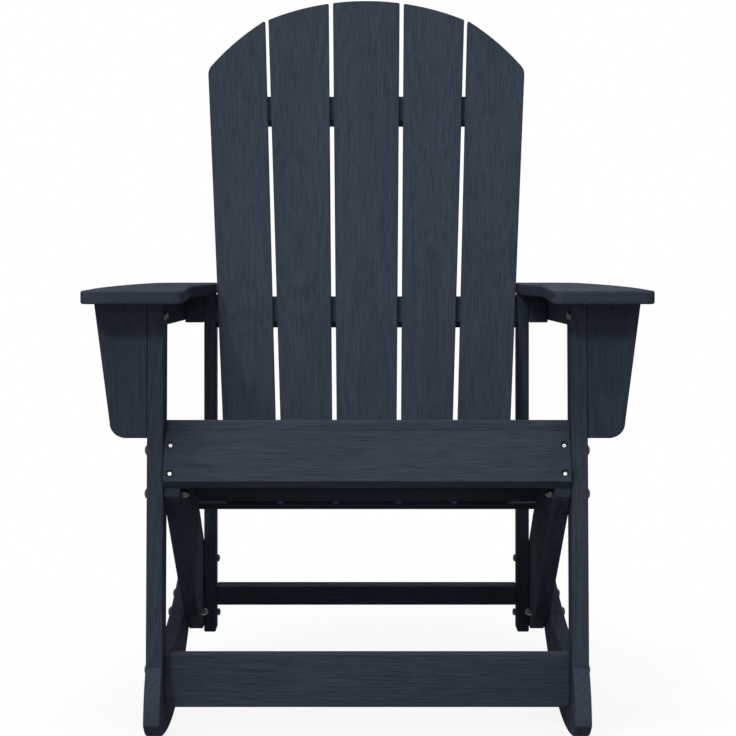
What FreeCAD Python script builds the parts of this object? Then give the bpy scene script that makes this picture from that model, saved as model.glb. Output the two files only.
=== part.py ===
import FreeCAD, Part

import math
import os

# A rocking adirondack chair of flat boards, bolted and screwed together.
# Millimetres. X runs across the chair, Y from its front to its back, Z up from the floor.
# While it is built, Y is a depth measured back from the line of the front legs. At the end
# everything moves along Y, so that the origin lies on the floor under the middle of its box.

# Boards
FRAME_THICKNESS = 22.0
UPRIGHT_THICKNESS = 18.0
SLAT_THICKNESS = 18.0
ARM_THICKNESS = 17.5
EDGE_ROUND = 2.5
CRISP_ROUND = 1.2
FIT_GAP = 0.25

# Across the chair, from the inner faces of the legs
LEG_INNER = 271.0

# Runners: a wide arc to rock on, a flatter arc on top, a blunt nose in front
RUNNER_RADIUS = 1080.0
RUNNER_LOW_DEPTH = 112.0
RUNNER_TOP_RADIUS = 2050.0
RUNNER_TOP_LOW_DEPTH = 130.0
RUNNER_HEIGHT = 94.5
NOSE_REACH = 49.0
NOSE_TIP_HEIGHT = 32.0
NOSE_BULGE = 8.0
NOSE_CHIN_REACH = 66.0
NOSE_CHIN_SAG = 5.0
TAIL_OVERHANG = 8.0

# Front legs, halved into the runners
LEG_WIDTH = 69.0
LEG_LEAN = 6.4
LEG_FOOT_DEPTH = -36.0
LEG_SETBACK = 2.5
TONGUE_LENGTH = 78.0

# Arms
ARM_TOP = 600.0
ARM_FRONT_DEPTH = -78.0
ARM_REAR_DEPTH = 598.0
ARM_HALF_WIDTH = 373.6
ARM_INNER_FRONT = 240.0
ARM_INNER_WAIST = 254.0
ARM_WAIST_DEPTH = 330.0
ARM_LOBE_DEPTH = 455.0
ARM_TAPER_DEPTH = 60.0
ARM_TAPER_RADIUS = 2850.0
ARM_FRONT_CORNER = 14.0
ARM_REAR_CORNER = 50.0
ARM_EDGE_ROUND = 3.0

# Rear uprights
UPRIGHT_WIDTH = 58.0
UPRIGHT_LEAN = 2.8
UPRIGHT_FOOT_DEPTH = 522.5
UPRIGHT_FOOT_HEIGHT = 66.0

# Seat rails: the sloping boards that carry the seat and join the legs to the uprights
SEAT_FRONT_DEPTH = 20.0
SEAT_FRONT_HEIGHT = 409.9
SEAT_SLOPE = 19.66
SEAT_RAIL_ANGLE = 28.5
SEAT_RAIL_FRONT_DEPTH = -8.2
SEAT_RAIL_FRONT_HEIGHT = 326.0
SEAT_RAIL_BEND_DEPTH = 381.0
SEAT_RAIL_FOOT_DEPTH = 508.0
SEAT_RAIL_FOOT_HEIGHT = 73.6
SEAT_RAIL_WIDTH = 154.5

# Seat boards
SEAT_SLAT_COUNT = 5
SEAT_SLAT_WIDTH = 71.5
SEAT_SLAT_GAP = 7.0
SEAT_END_GAP = 0.4
SEAT_FRONT_ROUND = 6.0
APRON_WIDTH = 73.8
APRON_RISE = 12.0

# Back: five slats that fan out, on three rails behind them
BACK_RECLINE = 26.0
BACK_FOOT_DEPTH = 408.9
BACK_TOP = 858.7
BACK_SLAT_FOOT = 9.0
BACK_LINE_FOOT = (46.8, 127.9, 208.1)
BACK_LINE_SPREAD = (0.0119, 0.0383, 0.0593)
BACK_GAP_FOOT = (6.5, 7.4, 0.0)
BACK_GAP_NARROWING = (0.0, 0.003, 0.0)
ARCH_CROWN_RADIUS = 368.4
ARCH_SHOULDER_RADIUS = 404.6
ARCH_SHOULDER_OFFSET = 76.7
ARCH_SHOULDER_HEIGHT = 496.0
ARCH_CORNER_ROUND = 25.0
BACK_RAIL_WIDTH = 44.5
MIDDLE_RAIL_START = 299.6
UPPER_RAIL_START = 649.0
UPPER_RAIL_INSET = 9.0

# Stretchers between the sides
FRONT_STRETCHER_DEPTH = 2.0
FRONT_STRETCHER_LOW = 42.2
FRONT_STRETCHER_HEIGHT = 72.6
REAR_STRETCHER_LOW = 107.0
REAR_STRETCHER_HEIGHT = 28.5
REAR_STRETCHER_INSET = 1.0

# What holds the arms: a bracket outside each leg, a rail behind it, a block on the upright
BRACKET_TOP_WIDTH = 71.5
BRACKET_FOOT_WIDTH = 49.7
BRACKET_LOW = 403.7
BRACKET_CORNER = 20.0
BLOCK_THICKNESS = 29.0
BLOCK_HEIGHT = 43.0
ARM_RAIL_FRONT_HEIGHT = 33.5
ARM_RAIL_REAR_HEIGHT = 40.2

# Fasteners
BOLT_RADIUS = 3.0
BOLT_HEAD_RADIUS = 8.0
BOLT_HEAD_HEIGHT = 5.8
BOLT_END_IN_NUT = 3.0
NUT_HALF_WIDTH = 4.8
SIDE_NUT_HEIGHT = 5.2
SIDE_NUT_DOME = 4.0
UPRIGHT_NUT_HEIGHT = 3.2
UPRIGHT_NUT_DOME = 1.4
WASHER_RADIUS = 5.6
SIDE_WASHER_THICKNESS = 1.2
UPRIGHT_WASHER_THICKNESS = 0.6
LAG_BITE = 40.0
BRACKET_LAG_BITE = 45.0
SCREW_RADIUS = 1.9
SCREW_HEAD_RADIUS = 3.9
SCREW_HEAD_DEPTH = 2.6
APRON_RECESS_RADIUS = 4.9
APRON_RECESS_DEPTH = 2.4
APRON_SCREW_LENGTH = 42.0
APRON_SCREW_INSET = 9.0
APRON_SCREW_FOOT = 12.4
APRON_SCREW_SPACING = 40.9
SEAT_SCREW_LENGTH = 32.0
SEAT_SCREW_SPACING = 36.0
BACK_SCREW_LENGTH = 33.0
BACK_SCREW_SPACING = 36.0
RAIL_END_SCREW_LENGTH = 50.0
RAIL_END_SCREW_SPACING = 20.0
RAIL_FOOT_SCREW_LENGTH = 80.0
ARM_SCREW_LENGTH = 50.0
ARM_SCREW_SPACING = 30.0
ARM_RAIL_SCREW_LENGTH = 34.0
LEG_BOLT_INSET = 37.0
LEG_BOLT_HEIGHTS = (384.2, 326.5)
UPRIGHT_BOLT_INSETS = (29.0, 45.0)
UPPER_UPRIGHT_BOLT_HEIGHT = 176.0
LOWER_UPRIGHT_BOLT_DROP = 10.25
LAP_LAG_HEIGHTS = (91.0, 62.0)
RUNNER_BOLT_DEPTH = 450.0
RUNNER_BOLT_HEIGHT = 107.5
BRACKET_LAG_DROP = 19.0

# Worked out from the sizes above
LEG_OUTER = LEG_INNER + FRAME_THICKNESS
LAP_FACE = LEG_INNER + FRAME_THICKNESS / 2
SEAT_RAIL_INNER = LEG_INNER - FRAME_THICKNESS
UPRIGHT_INNER = SEAT_RAIL_INNER - UPRIGHT_THICKNESS
BLOCK_OUTER = SEAT_RAIL_INNER + BLOCK_THICKNESS
SEAT_SCREW_X = (LEG_INNER + SEAT_RAIL_INNER) / 2
APRON_SCREW_X = LEG_INNER - APRON_SCREW_INSET
ARM_UNDERSIDE = ARM_TOP - ARM_THICKNESS
BOARD_REACH = 900.0


def vector(x, y, z):
    return FreeCAD.Vector(x, y, z)


def tangent(degrees):
    return math.tan(math.radians(degrees))


def runner_bottom(depth):
    """Height of the rocking arc at a depth."""
    run = depth - RUNNER_LOW_DEPTH
    return RUNNER_RADIUS - math.sqrt(RUNNER_RADIUS ** 2 - run ** 2)


def runner_top(depth):
    """Height of the runner's upper arc at a depth."""
    run = depth - RUNNER_TOP_LOW_DEPTH
    return RUNNER_HEIGHT + RUNNER_TOP_RADIUS - math.sqrt(RUNNER_TOP_RADIUS ** 2 - run ** 2)


def leg_front(height):
    """Depth of the legs' front face at a height."""
    return LEG_FOOT_DEPTH + (height - runner_top(LEG_FOOT_DEPTH)) * tangent(LEG_LEAN)


def leg_rear(height):
    """Depth of the legs' rear face at a height."""
    return leg_front(height) + LEG_WIDTH / math.cos(math.radians(LEG_LEAN))


def upright_front(height):
    """Depth of the uprights' front face at a height."""
    return UPRIGHT_FOOT_DEPTH + (height - UPRIGHT_FOOT_HEIGHT) * tangent(UPRIGHT_LEAN)


def upright_rear(height):
    """Depth of the uprights' rear face at a height."""
    return upright_front(height) + UPRIGHT_WIDTH / math.cos(math.radians(UPRIGHT_LEAN))


def upright_middle(height):
    return (upright_front(height) + upright_rear(height)) / 2


def seat_line(depth):
    """Height of the seat rails' upper edge, on which the seat boards lie."""
    return SEAT_FRONT_HEIGHT - (depth - SEAT_FRONT_DEPTH) * tangent(SEAT_SLOPE)


BACK_FOOT_HEIGHT = seat_line(BACK_FOOT_DEPTH)
LOWER_RAIL_START = FRAME_THICKNESS * tangent(BACK_RECLINE - SEAT_SLOPE)


def back_point(x, distance, forward):
    """A point of the back: across, up along the rails' front face, and forward of it."""
    lean = math.radians(BACK_RECLINE)
    return vector(x, BACK_FOOT_DEPTH + distance * math.sin(lean) - forward * math.cos(lean),
                  BACK_FOOT_HEIGHT + distance * math.cos(lean) + forward * math.sin(lean))


def back_placement():
    """Turns a shape drawn flat, X across and Y up the back, into the reclined back."""
    return FreeCAD.Placement(back_point(0, 0, 0), FreeCAD.Rotation(vector(1, 0, 0), 90 - BACK_RECLINE))


def seat_point(x, distance, above):
    """A point of the seat: across, back along the seat's slope, and above the rails."""
    slope = math.radians(SEAT_SLOPE)
    return vector(x, SEAT_FRONT_DEPTH + distance * math.cos(slope) + above * math.sin(slope),
                  SEAT_FRONT_HEIGHT - distance * math.sin(slope) + above * math.cos(slope))


def seat_placement():
    """Turns a shape drawn flat, X across and Y backwards, into the sloping seat."""
    return FreeCAD.Placement(seat_point(0, 0, 0), FreeCAD.Rotation(vector(1, 0, 0), -SEAT_SLOPE))


def rail_point(x, along, up):
    """A point at a seat rail's front end: across, back along the rail, and up its end face."""
    angle = math.radians(SEAT_RAIL_ANGLE)
    return vector(x, SEAT_RAIL_FRONT_DEPTH + along * math.cos(angle) + up * math.sin(angle),
                  SEAT_RAIL_FRONT_HEIGHT - along * math.sin(angle) + up * math.cos(angle))


def rail_placement():
    """Turns a shape drawn flat, Y back along the seat rail and Z up its end face."""
    return FreeCAD.Placement(rail_point(0, 0, 0), FreeCAD.Rotation(vector(1, 0, 0), -SEAT_RAIL_ANGLE))


def eased(shape, radius=EDGE_ROUND):
    """Rounds every edge of a board."""
    return shape.makeFillet(radius, shape.Edges)


def closed_wire(steps):
    """A wire through points. A step is a point, or a pair for an arc: its middle and its end."""
    edges = []
    last = steps[-1][1] if isinstance(steps[-1], tuple) else steps[-1]
    for step in steps:
        if isinstance(step, tuple):
            edges.append(Part.Arc(last, step[0], step[1]).toShape())
            last = step[1]
        elif (step - last).Length > 1e-6:
            edges.append(Part.LineSegment(last, step).toShape())
            last = step
    return Part.Wire(edges)


def side_board(steps, inner, outer):
    """A board cut to a side outline of points (0, depth, height), between two X planes."""
    wire = closed_wire(steps)
    solid = Part.Face(wire).extrude(vector(outer - inner, 0, 0))
    solid.translate(vector(inner, 0, 0))
    return solid


def side_point(depth, height):
    return vector(0, depth, height)


def block(low, high):
    """A box between two corners."""
    size = high - low
    return Part.makeBox(size.x, size.y, size.z, low)


def mirrored(shape):
    """The same piece on the other side of the chair."""
    return shape.mirror(vector(0, 0, 0), vector(1, 0, 0))


def turned(steps, start, direction):
    """A piece of revolution. Steps are points (radius, 0, distance along its axis)."""
    wire = closed_wire(steps)
    solid = Part.Face(wire).revolve(vector(0, 0, 0), vector(0, 0, 1), 360)
    solid.Placement = FreeCAD.Placement(start, FreeCAD.Rotation(vector(0, 0, 1), direction))
    return solid


def dome_middle(radius, height):
    """Half way round a domed head's arc, as a point of its section."""
    sphere = (radius ** 2 + height ** 2) / (2 * height)
    half = math.asin(radius / sphere) / 2
    return vector(sphere * math.sin(half), 0, sphere - height - sphere * math.cos(half))


def domed_bolt(start, direction, length):
    """A bolt whose round head stands on the plane at start, with its shank along direction."""
    steps = [vector(0, 0, -BOLT_HEAD_HEIGHT),
             (dome_middle(BOLT_HEAD_RADIUS, BOLT_HEAD_HEIGHT), vector(BOLT_HEAD_RADIUS, 0, 0)),
             vector(BOLT_RADIUS, 0, 0), vector(BOLT_RADIUS, 0, length), vector(0, 0, length)]
    return turned(steps, start, direction)


def flat_screw(start, direction, length):
    """A countersunk screw whose head is flush with the plane at start."""
    steps = [vector(0, 0, 0), vector(SCREW_HEAD_RADIUS, 0, 0), vector(SCREW_RADIUS, 0, SCREW_HEAD_DEPTH),
             vector(SCREW_RADIUS, 0, length), vector(0, 0, length)]
    return turned(steps, start, direction)


def screw_hole(start, direction, length):
    """The countersunk hole that a flat screw goes in."""
    rim = SCREW_HEAD_RADIUS + FIT_GAP
    bore = SCREW_RADIUS + FIT_GAP
    steps = [vector(0, 0, 0), vector(rim, 0, 0), vector(bore, 0, SCREW_HEAD_DEPTH),
             vector(bore, 0, length + FIT_GAP), vector(0, 0, length + FIT_GAP)]
    return turned(steps, start, direction)


def bolt_hole(start, direction, length):
    return Part.makeCylinder(BOLT_RADIUS + FIT_GAP, length + FIT_GAP, start, direction)


def dome_nut(start, direction, height, dome_height):
    """A closed nut with a hexagonal foot on the plane at start and a dome beyond it."""
    corner = NUT_HALF_WIDTH / math.cos(math.radians(30))
    corners = [vector(corner * math.cos(math.radians(60 * k)), corner * math.sin(math.radians(60 * k)), 0)
               for k in range(6)]
    foot = Part.Face(Part.makePolygon(corners + corners[:1])).extrude(vector(0, 0, height))
    sphere = (NUT_HALF_WIDTH ** 2 + dome_height ** 2) / (2 * dome_height)
    dome = Part.makeSphere(sphere, vector(0, 0, height + dome_height - sphere))
    above = Part.makeBox(4 * sphere, 4 * sphere, 4 * sphere, vector(-2 * sphere, -2 * sphere, height))
    nut = foot.fuse(dome.common(above))
    bore = Part.makeCylinder(BOLT_RADIUS + FIT_GAP, BOLT_END_IN_NUT + FIT_GAP)
    nut = nut.cut(bore)
    nut.Placement = FreeCAD.Placement(start, FreeCAD.Rotation(vector(0, 0, 1), direction))
    return nut


def washer(start, direction, thickness):
    outer = Part.makeCylinder(WASHER_RADIUS, thickness, start, direction)
    return outer.cut(Part.makeCylinder(BOLT_RADIUS + FIT_GAP, thickness, start, direction))


OUTWARD = vector(1, 0, 0)
INWARD = vector(-1, 0, 0)
DOWN = vector(0, 0, -1)


def runner_outline():
    """The runner's side outline: nose, rocking arc, cut tail and upper arc."""
    foot_depth = LEG_FOOT_DEPTH - LEG_SETBACK
    foot_top = side_point(foot_depth, runner_top(foot_depth))
    tip = side_point(LEG_FOOT_DEPTH - NOSE_REACH, NOSE_TIP_HEIGHT)
    chord = tip - foot_top
    bulge = vector(0, chord.z, -chord.y) * (NOSE_BULGE / chord.Length)
    chin_depth = tip.y + NOSE_CHIN_REACH
    chin = side_point(chin_depth, runner_bottom(chin_depth))
    chin_chord = chin - tip
    chin_bulge = vector(0, chin_chord.z, -chin_chord.y) * (NOSE_CHIN_SAG / chin_chord.Length)
    tail_depth = upright_rear(RUNNER_HEIGHT) + TAIL_OVERHANG
    tail_low = side_point(tail_depth, runner_bottom(tail_depth))
    tail_high = side_point(tail_depth, runner_top(tail_depth))
    bottom_middle = (chin_depth + tail_depth) / 2
    top_middle = (foot_depth + tail_depth) / 2
    return [foot_top,
            ((foot_top + tip) * 0.5 + bulge, tip),
            ((tip + chin) * 0.5 + chin_bulge, chin),
            (side_point(bottom_middle, runner_bottom(bottom_middle)), tail_low),
            tail_high,
            (side_point(top_middle, runner_top(top_middle)), foot_top)]


def leg_outline(low, spread=0.0):
    """The leg's leaning side outline from a height to the arm, widened by spread for its recess."""
    return [side_point(leg_front(low) - spread, low - spread),
            side_point(leg_rear(low) + spread, low - spread),
            side_point(leg_rear(ARM_UNDERSIDE) + spread, ARM_UNDERSIDE),
            side_point(leg_front(ARM_UNDERSIDE) - spread, ARM_UNDERSIDE)]


def tongue_low():
    return runner_top(LEG_FOOT_DEPTH) - TONGUE_LENGTH


def leg_bolt_points():
    return [(leg_front(height) + LEG_BOLT_INSET, height) for height in LEG_BOLT_HEIGHTS]


def upright_bolt_points():
    """Bolts from the seat rails into the uprights, the lower one just below the runner's arc."""
    foot = upright_front(UPRIGHT_FOOT_HEIGHT) + UPRIGHT_BOLT_INSETS[1]
    heights = (UPPER_UPRIGHT_BOLT_HEIGHT, runner_bottom(foot) - LOWER_UPRIGHT_BOLT_DROP)
    return [(upright_front(height) + inset, height) for inset, height in zip(UPRIGHT_BOLT_INSETS, heights)]


def lap_lag_points():
    middle = FRONT_STRETCHER_DEPTH + FRAME_THICKNESS / 2
    return [(middle, height) for height in LAP_LAG_HEIGHTS]


def rear_lag_point():
    height = REAR_STRETCHER_LOW + REAR_STRETCHER_HEIGHT / 2
    return upright_middle(height), height


def rear_lag_length():
    return FRAME_THICKNESS * 2 + UPRIGHT_THICKNESS + LAG_BITE


def bracket_lag_point():
    height = ARM_UNDERSIDE - BRACKET_LAG_DROP
    return leg_front(height) + FRAME_THICKNESS / 2, height


def cut_bolts(solid, points, outer, length):
    """Drills round holes inwards from an X plane."""
    for depth, height in points:
        solid = solid.cut(bolt_hole(vector(outer, depth, height), INWARD, length))
    return solid


def make_runner():
    runner = eased(side_board(runner_outline(), LEG_INNER, LEG_OUTER))
    recess = side_board(leg_outline(tongue_low(), FIT_GAP), LEG_INNER - FIT_GAP, LAP_FACE + FIT_GAP)
    runner = runner.cut(recess)
    points = lap_lag_points() + [(RUNNER_BOLT_DEPTH, RUNNER_BOLT_HEIGHT), rear_lag_point()]
    return cut_bolts(runner, points, LEG_OUTER, FRAME_THICKNESS)


def make_front_leg():
    leg = eased(side_board(leg_outline(tongue_low()), LEG_INNER, LEG_OUTER))
    below = side_board(runner_outline(), LAP_FACE, LEG_OUTER)
    below.translate(vector(0, 0, FIT_GAP))
    leg = leg.cut(below)
    leg = cut_bolts(leg, leg_bolt_points() + lap_lag_points(), LEG_OUTER, FRAME_THICKNESS)
    depth, height = bracket_lag_point()
    leg = leg.cut(bolt_hole(vector(LEG_INNER, depth, height), OUTWARD, FRAME_THICKNESS))
    for start in arm_screw_points():
        leg = leg.cut(screw_hole(start, DOWN, ARM_SCREW_LENGTH))
    return leg


def make_seat_rail():
    angle = math.radians(SEAT_RAIL_ANGLE)
    bend_height = SEAT_RAIL_FRONT_HEIGHT - (SEAT_RAIL_BEND_DEPTH - SEAT_RAIL_FRONT_DEPTH) * math.tan(angle)
    # The end face rises square to the lower edge until it meets the seat line.
    rise = (seat_line(SEAT_RAIL_FRONT_DEPTH) - SEAT_RAIL_FRONT_HEIGHT) / (
        math.cos(angle) + math.sin(angle) * tangent(SEAT_SLOPE))
    front_top = rail_point(0, 0, rise)
    # Behind the seat line the upper edge runs parallel to the lower one, down to the upright's rear face.
    edge_height = rail_point(0, 0, SEAT_RAIL_WIDTH).z
    edge_depth = rail_point(0, 0, SEAT_RAIL_WIDTH).y
    slope_gap = math.tan(angle) - tangent(SEAT_SLOPE)
    drop_depth = edge_depth + (edge_height - seat_line(edge_depth)) / slope_gap
    slant = tangent(UPRIGHT_LEAN)
    foot_rear = upright_rear(SEAT_RAIL_FOOT_HEIGHT)
    rear_rise = (edge_height - SEAT_RAIL_FOOT_HEIGHT - (foot_rear - edge_depth) * math.tan(angle)) / (
        1 + slant * math.tan(angle))
    rear_height = SEAT_RAIL_FOOT_HEIGHT + rear_rise
    steps = [rail_point(0, 0, 0), side_point(SEAT_RAIL_BEND_DEPTH, bend_height),
             side_point(SEAT_RAIL_FOOT_DEPTH, SEAT_RAIL_FOOT_HEIGHT),
             side_point(foot_rear, SEAT_RAIL_FOOT_HEIGHT), side_point(upright_rear(rear_height), rear_height),
             side_point(drop_depth, seat_line(drop_depth)), front_top]
    rail = eased(side_board(steps, SEAT_RAIL_INNER, LEG_INNER))
    points = leg_bolt_points() + upright_bolt_points()
    points = points + [(RUNNER_BOLT_DEPTH, RUNNER_BOLT_HEIGHT), rear_lag_point()]
    rail = cut_bolts(rail, points, LEG_INNER, FRAME_THICKNESS)
    for start in seat_screw_points(1):
        rail = rail.cut(screw_hole(start, seat_down(), SEAT_SCREW_LENGTH))
    for start in apron_screw_points(1):
        rail = rail.cut(screw_hole(start, rail_back(), APRON_SCREW_LENGTH))
    start, direction = rail_foot_screw(1)
    return rail.cut(screw_hole(start, direction, RAIL_FOOT_SCREW_LENGTH))


def make_rear_upright():
    low = UPRIGHT_FOOT_HEIGHT
    steps = [side_point(upright_front(low), low), side_point(upright_rear(low), low),
             side_point(upright_rear(ARM_UNDERSIDE), ARM_UNDERSIDE),
             side_point(upright_front(ARM_UNDERSIDE), ARM_UNDERSIDE)]
    upright = eased(side_board(steps, UPRIGHT_INNER, SEAT_RAIL_INNER))
    upright = cut_bolts(upright, upright_bolt_points() + [rear_lag_point()], SEAT_RAIL_INNER,
                        UPRIGHT_THICKNESS)
    for start in rail_end_screw_points(1):
        upright = upright.cut(screw_hole(start, INWARD, RAIL_END_SCREW_LENGTH))
    return upright


def arm_outline():
    """The right arm seen from above: wide and blunt in front, waisted inside, tapered behind."""
    front = ARM_FRONT_DEPTH
    rear = ARM_REAR_DEPTH
    corner = ARM_FRONT_CORNER
    slant = corner * math.sin(math.radians(45))
    taper_end = rear - ARM_REAR_CORNER
    run = taper_end - ARM_TAPER_DEPTH
    side_at_end = ARM_HALF_WIDTH - (ARM_TAPER_RADIUS - math.sqrt(ARM_TAPER_RADIUS ** 2 - run ** 2))
    half_run = run / 2
    side_at_half = ARM_HALF_WIDTH - (ARM_TAPER_RADIUS - math.sqrt(ARM_TAPER_RADIUS ** 2 - half_run ** 2))
    corner_centre = vector(side_at_end - ARM_REAR_CORNER, taper_end, 0)
    reach = ARM_REAR_CORNER * math.sin(math.radians(45))
    lobe_middle = vector((ARM_INNER_WAIST + UPRIGHT_INNER) / 2, (ARM_WAIST_DEPTH + ARM_LOBE_DEPTH) / 2, 0)
    return [vector(ARM_HALF_WIDTH - corner, front, 0),
            (vector(ARM_HALF_WIDTH - corner + slant, front + corner - slant, 0),
             vector(ARM_HALF_WIDTH, front + corner, 0)),
            vector(ARM_HALF_WIDTH, ARM_TAPER_DEPTH, 0),
            (vector(side_at_half, ARM_TAPER_DEPTH + half_run, 0), vector(side_at_end, taper_end, 0)),
            (corner_centre + vector(reach, reach, 0), vector(corner_centre.x, rear, 0)),
            vector(UPRIGHT_INNER, rear, 0),
            vector(UPRIGHT_INNER, ARM_LOBE_DEPTH, 0),
            lobe_middle,
            vector(ARM_INNER_WAIST, ARM_WAIST_DEPTH, 0),
            vector(ARM_INNER_FRONT, front + corner, 0),
            (vector(ARM_INNER_FRONT + corner - slant, front + corner - slant, 0),
             vector(ARM_INNER_FRONT + corner, front, 0))]


def arm_screw_points():
    """Screws down through the arm: two into the leg's end."""
    middle_depth = (leg_front(ARM_UNDERSIDE) + leg_rear(ARM_UNDERSIDE)) / 2
    x = (LEG_INNER + LEG_OUTER) / 2
    return [vector(x, middle_depth + side * ARM_SCREW_SPACING / 2, ARM_TOP) for side in (-1, 1)]


def arm_block_screw_points():
    """Screws down through the arm: two into the block on the upright."""
    x = SEAT_RAIL_INNER + BLOCK_THICKNESS / 2
    middle_depth = upright_middle(ARM_UNDERSIDE)
    return [vector(x, middle_depth + side * ARM_SCREW_SPACING / 2, ARM_TOP) for side in (-1, 1)]


def make_arm():
    arm = Part.Face(closed_wire(arm_outline())).extrude(vector(0, 0, ARM_THICKNESS))
    arm.translate(vector(0, 0, ARM_UNDERSIDE))
    arm = eased(arm, ARM_EDGE_ROUND)
    for start in arm_screw_points():
        arm = arm.cut(screw_hole(start, DOWN, ARM_SCREW_LENGTH))
    for start in arm_block_screw_points():
        arm = arm.cut(screw_hole(start, DOWN, ARM_RAIL_SCREW_LENGTH))
    return arm


def make_arm_bracket():
    """A board outside the leg, flush with its front, with a rounded lower corner."""
    length = (ARM_UNDERSIDE - BRACKET_LOW) / math.cos(math.radians(LEG_LEAN))
    top = vector(LEG_OUTER, 0, FRAME_THICKNESS)
    corner_top = vector(LEG_OUTER + BRACKET_FOOT_WIDTH, 0, -length + BRACKET_CORNER)
    corner_end = vector(LEG_OUTER + BRACKET_FOOT_WIDTH - BRACKET_CORNER, 0, -length)
    bow = BRACKET_CORNER * (1 - math.sin(math.radians(45)))
    corner_middle = vector(corner_top.x - bow, 0, -length + bow)
    slope = (BRACKET_TOP_WIDTH - BRACKET_FOOT_WIDTH) / (length - BRACKET_CORNER)
    steps = [top, vector(LEG_OUTER, 0, -length), corner_end, (corner_middle, corner_top),
             vector(LEG_OUTER + BRACKET_TOP_WIDTH + slope * top.z, 0, top.z)]
    board = Part.Face(closed_wire(steps)).extrude(vector(0, FRAME_THICKNESS, 0))
    board.Placement = FreeCAD.Placement(vector(0, leg_front(ARM_UNDERSIDE), ARM_UNDERSIDE),
                                        FreeCAD.Rotation(vector(1, 0, 0), -LEG_LEAN))
    board = eased(board)
    above = block(vector(0, -BOARD_REACH, ARM_UNDERSIDE), vector(BOARD_REACH, BOARD_REACH, BOARD_REACH))
    board = board.cut(above)
    depth, height = bracket_lag_point()
    return board.cut(bolt_hole(vector(LEG_OUTER, depth, height), OUTWARD, BRACKET_LAG_BITE))


def make_arm_block():
    """A packing block on the upright's outer face, under the arm."""
    low = ARM_UNDERSIDE - BLOCK_HEIGHT
    steps = [side_point(upright_front(low), low), side_point(upright_rear(low), low),
             side_point(upright_rear(ARM_UNDERSIDE), ARM_UNDERSIDE),
             side_point(upright_front(ARM_UNDERSIDE), ARM_UNDERSIDE)]
    solid = eased(side_board(steps, SEAT_RAIL_INNER, BLOCK_OUTER))
    for start in arm_block_screw_points():
        solid = solid.cut(screw_hole(start, DOWN, ARM_RAIL_SCREW_LENGTH))
    return solid


def make_arm_rail():
    """A rail under the arm, from the leg's rear face to the end of the block."""
    front_low = ARM_UNDERSIDE - ARM_RAIL_FRONT_HEIGHT
    rear_low = ARM_UNDERSIDE - ARM_RAIL_REAR_HEIGHT
    steps = [side_point(leg_rear(front_low), front_low), side_point(upright_rear(rear_low), rear_low),
             side_point(upright_rear(ARM_UNDERSIDE), ARM_UNDERSIDE),
             side_point(leg_rear(ARM_UNDERSIDE), ARM_UNDERSIDE)]
    return eased(side_board(steps, BLOCK_OUTER, BLOCK_OUTER + FRAME_THICKNESS))


def back_edge(line, side, distance):
    """X of one edge of the gap on a line between slats: side -1 is its inner edge, 1 its outer one."""
    gap = BACK_GAP_FOOT[line] - BACK_GAP_NARROWING[line] * distance
    return BACK_LINE_FOOT[line] + BACK_LINE_SPREAD[line] * distance + side * gap / 2


def back_slat_sides(which, distance):
    """Inner and outer X of a slat at a distance up the back; slat 0 is the middle one."""
    outer = back_edge(which, -1, distance)
    return (-outer if which == 0 else back_edge(which - 1, 1, distance)), outer


def arch_circle(which):
    """Centre and radius of the arc that rounds a slat's top, drawn flat."""
    if which == len(BACK_LINE_FOOT) - 1:
        return vector(-ARCH_SHOULDER_OFFSET, ARCH_SHOULDER_HEIGHT, 0), ARCH_SHOULDER_RADIUS
    return vector(0, BACK_TOP - ARCH_CROWN_RADIUS, 0), ARCH_CROWN_RADIUS


def arch_corner(which, foot, high):
    """Where a slat's straight side, through two points, meets the arc of its top."""
    centre, radius = arch_circle(which)
    way = (high - foot).normalize()
    nearest = (centre - foot).dot(way)
    offset = (foot + way * nearest - centre).Length
    return foot + way * (nearest + math.sqrt(radius ** 2 - offset ** 2))


def slat_outline(which):
    """A back slat drawn flat, X across and Y up the back, as a closed wire."""
    low_inner, low_outer = [vector(x, BACK_SLAT_FOOT, 0) for x in back_slat_sides(which, BACK_SLAT_FOOT)]
    high_inner, high_outer = [vector(x, BACK_TOP, 0) for x in back_slat_sides(which, BACK_TOP)]
    centre, radius = arch_circle(which)
    end_outer = arch_corner(which, low_outer, high_outer)
    end_inner = arch_corner(which, low_inner, high_inner)
    crest = centre + ((end_outer + end_inner) * 0.5 - centre).normalize() * radius
    return closed_wire([low_inner, low_outer, end_outer, (crest, end_inner)])


def make_back_slat(which):
    slat = Part.Face(slat_outline(which)).extrude(vector(0, 0, SLAT_THICKNESS))
    if which == len(BACK_LINE_FOOT) - 1:
        corners = [edge for edge in slat.Edges if is_outer_top_corner(edge)]
        slat = slat.makeFillet(ARCH_CORNER_ROUND, corners)
    slat = eased(slat)
    slat.Placement = back_placement()
    for start in back_screw_points():
        slat = slat.cut(screw_hole(start, back_forward(), BACK_SCREW_LENGTH))
    return slat


def is_outer_top_corner(edge):
    """Whether an edge runs through the slat's thickness at its outer top corner."""
    ends = edge.Vertexes
    if len(ends) != 2:
        return False
    across = abs(ends[0].Point.x - ends[1].Point.x) + abs(ends[0].Point.y - ends[1].Point.y)
    outermost = back_slat_sides(len(BACK_LINE_FOOT) - 1, ends[0].Point.y)[1]
    return across < 1e-6 and ends[0].Point.x > outermost - 1e-3 and ends[0].Point.y > BACK_TOP / 2


def back_forward():
    lean = math.radians(BACK_RECLINE)
    return vector(0, -math.cos(lean), math.sin(lean))


def seat_down():
    slope = math.radians(SEAT_SLOPE)
    return vector(0, -math.sin(slope), -math.cos(slope))


def rail_back():
    angle = math.radians(SEAT_RAIL_ANGLE)
    return vector(0, math.cos(angle), -math.sin(angle))


def back_rail_starts():
    return (LOWER_RAIL_START, MIDDLE_RAIL_START, UPPER_RAIL_START)


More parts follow.
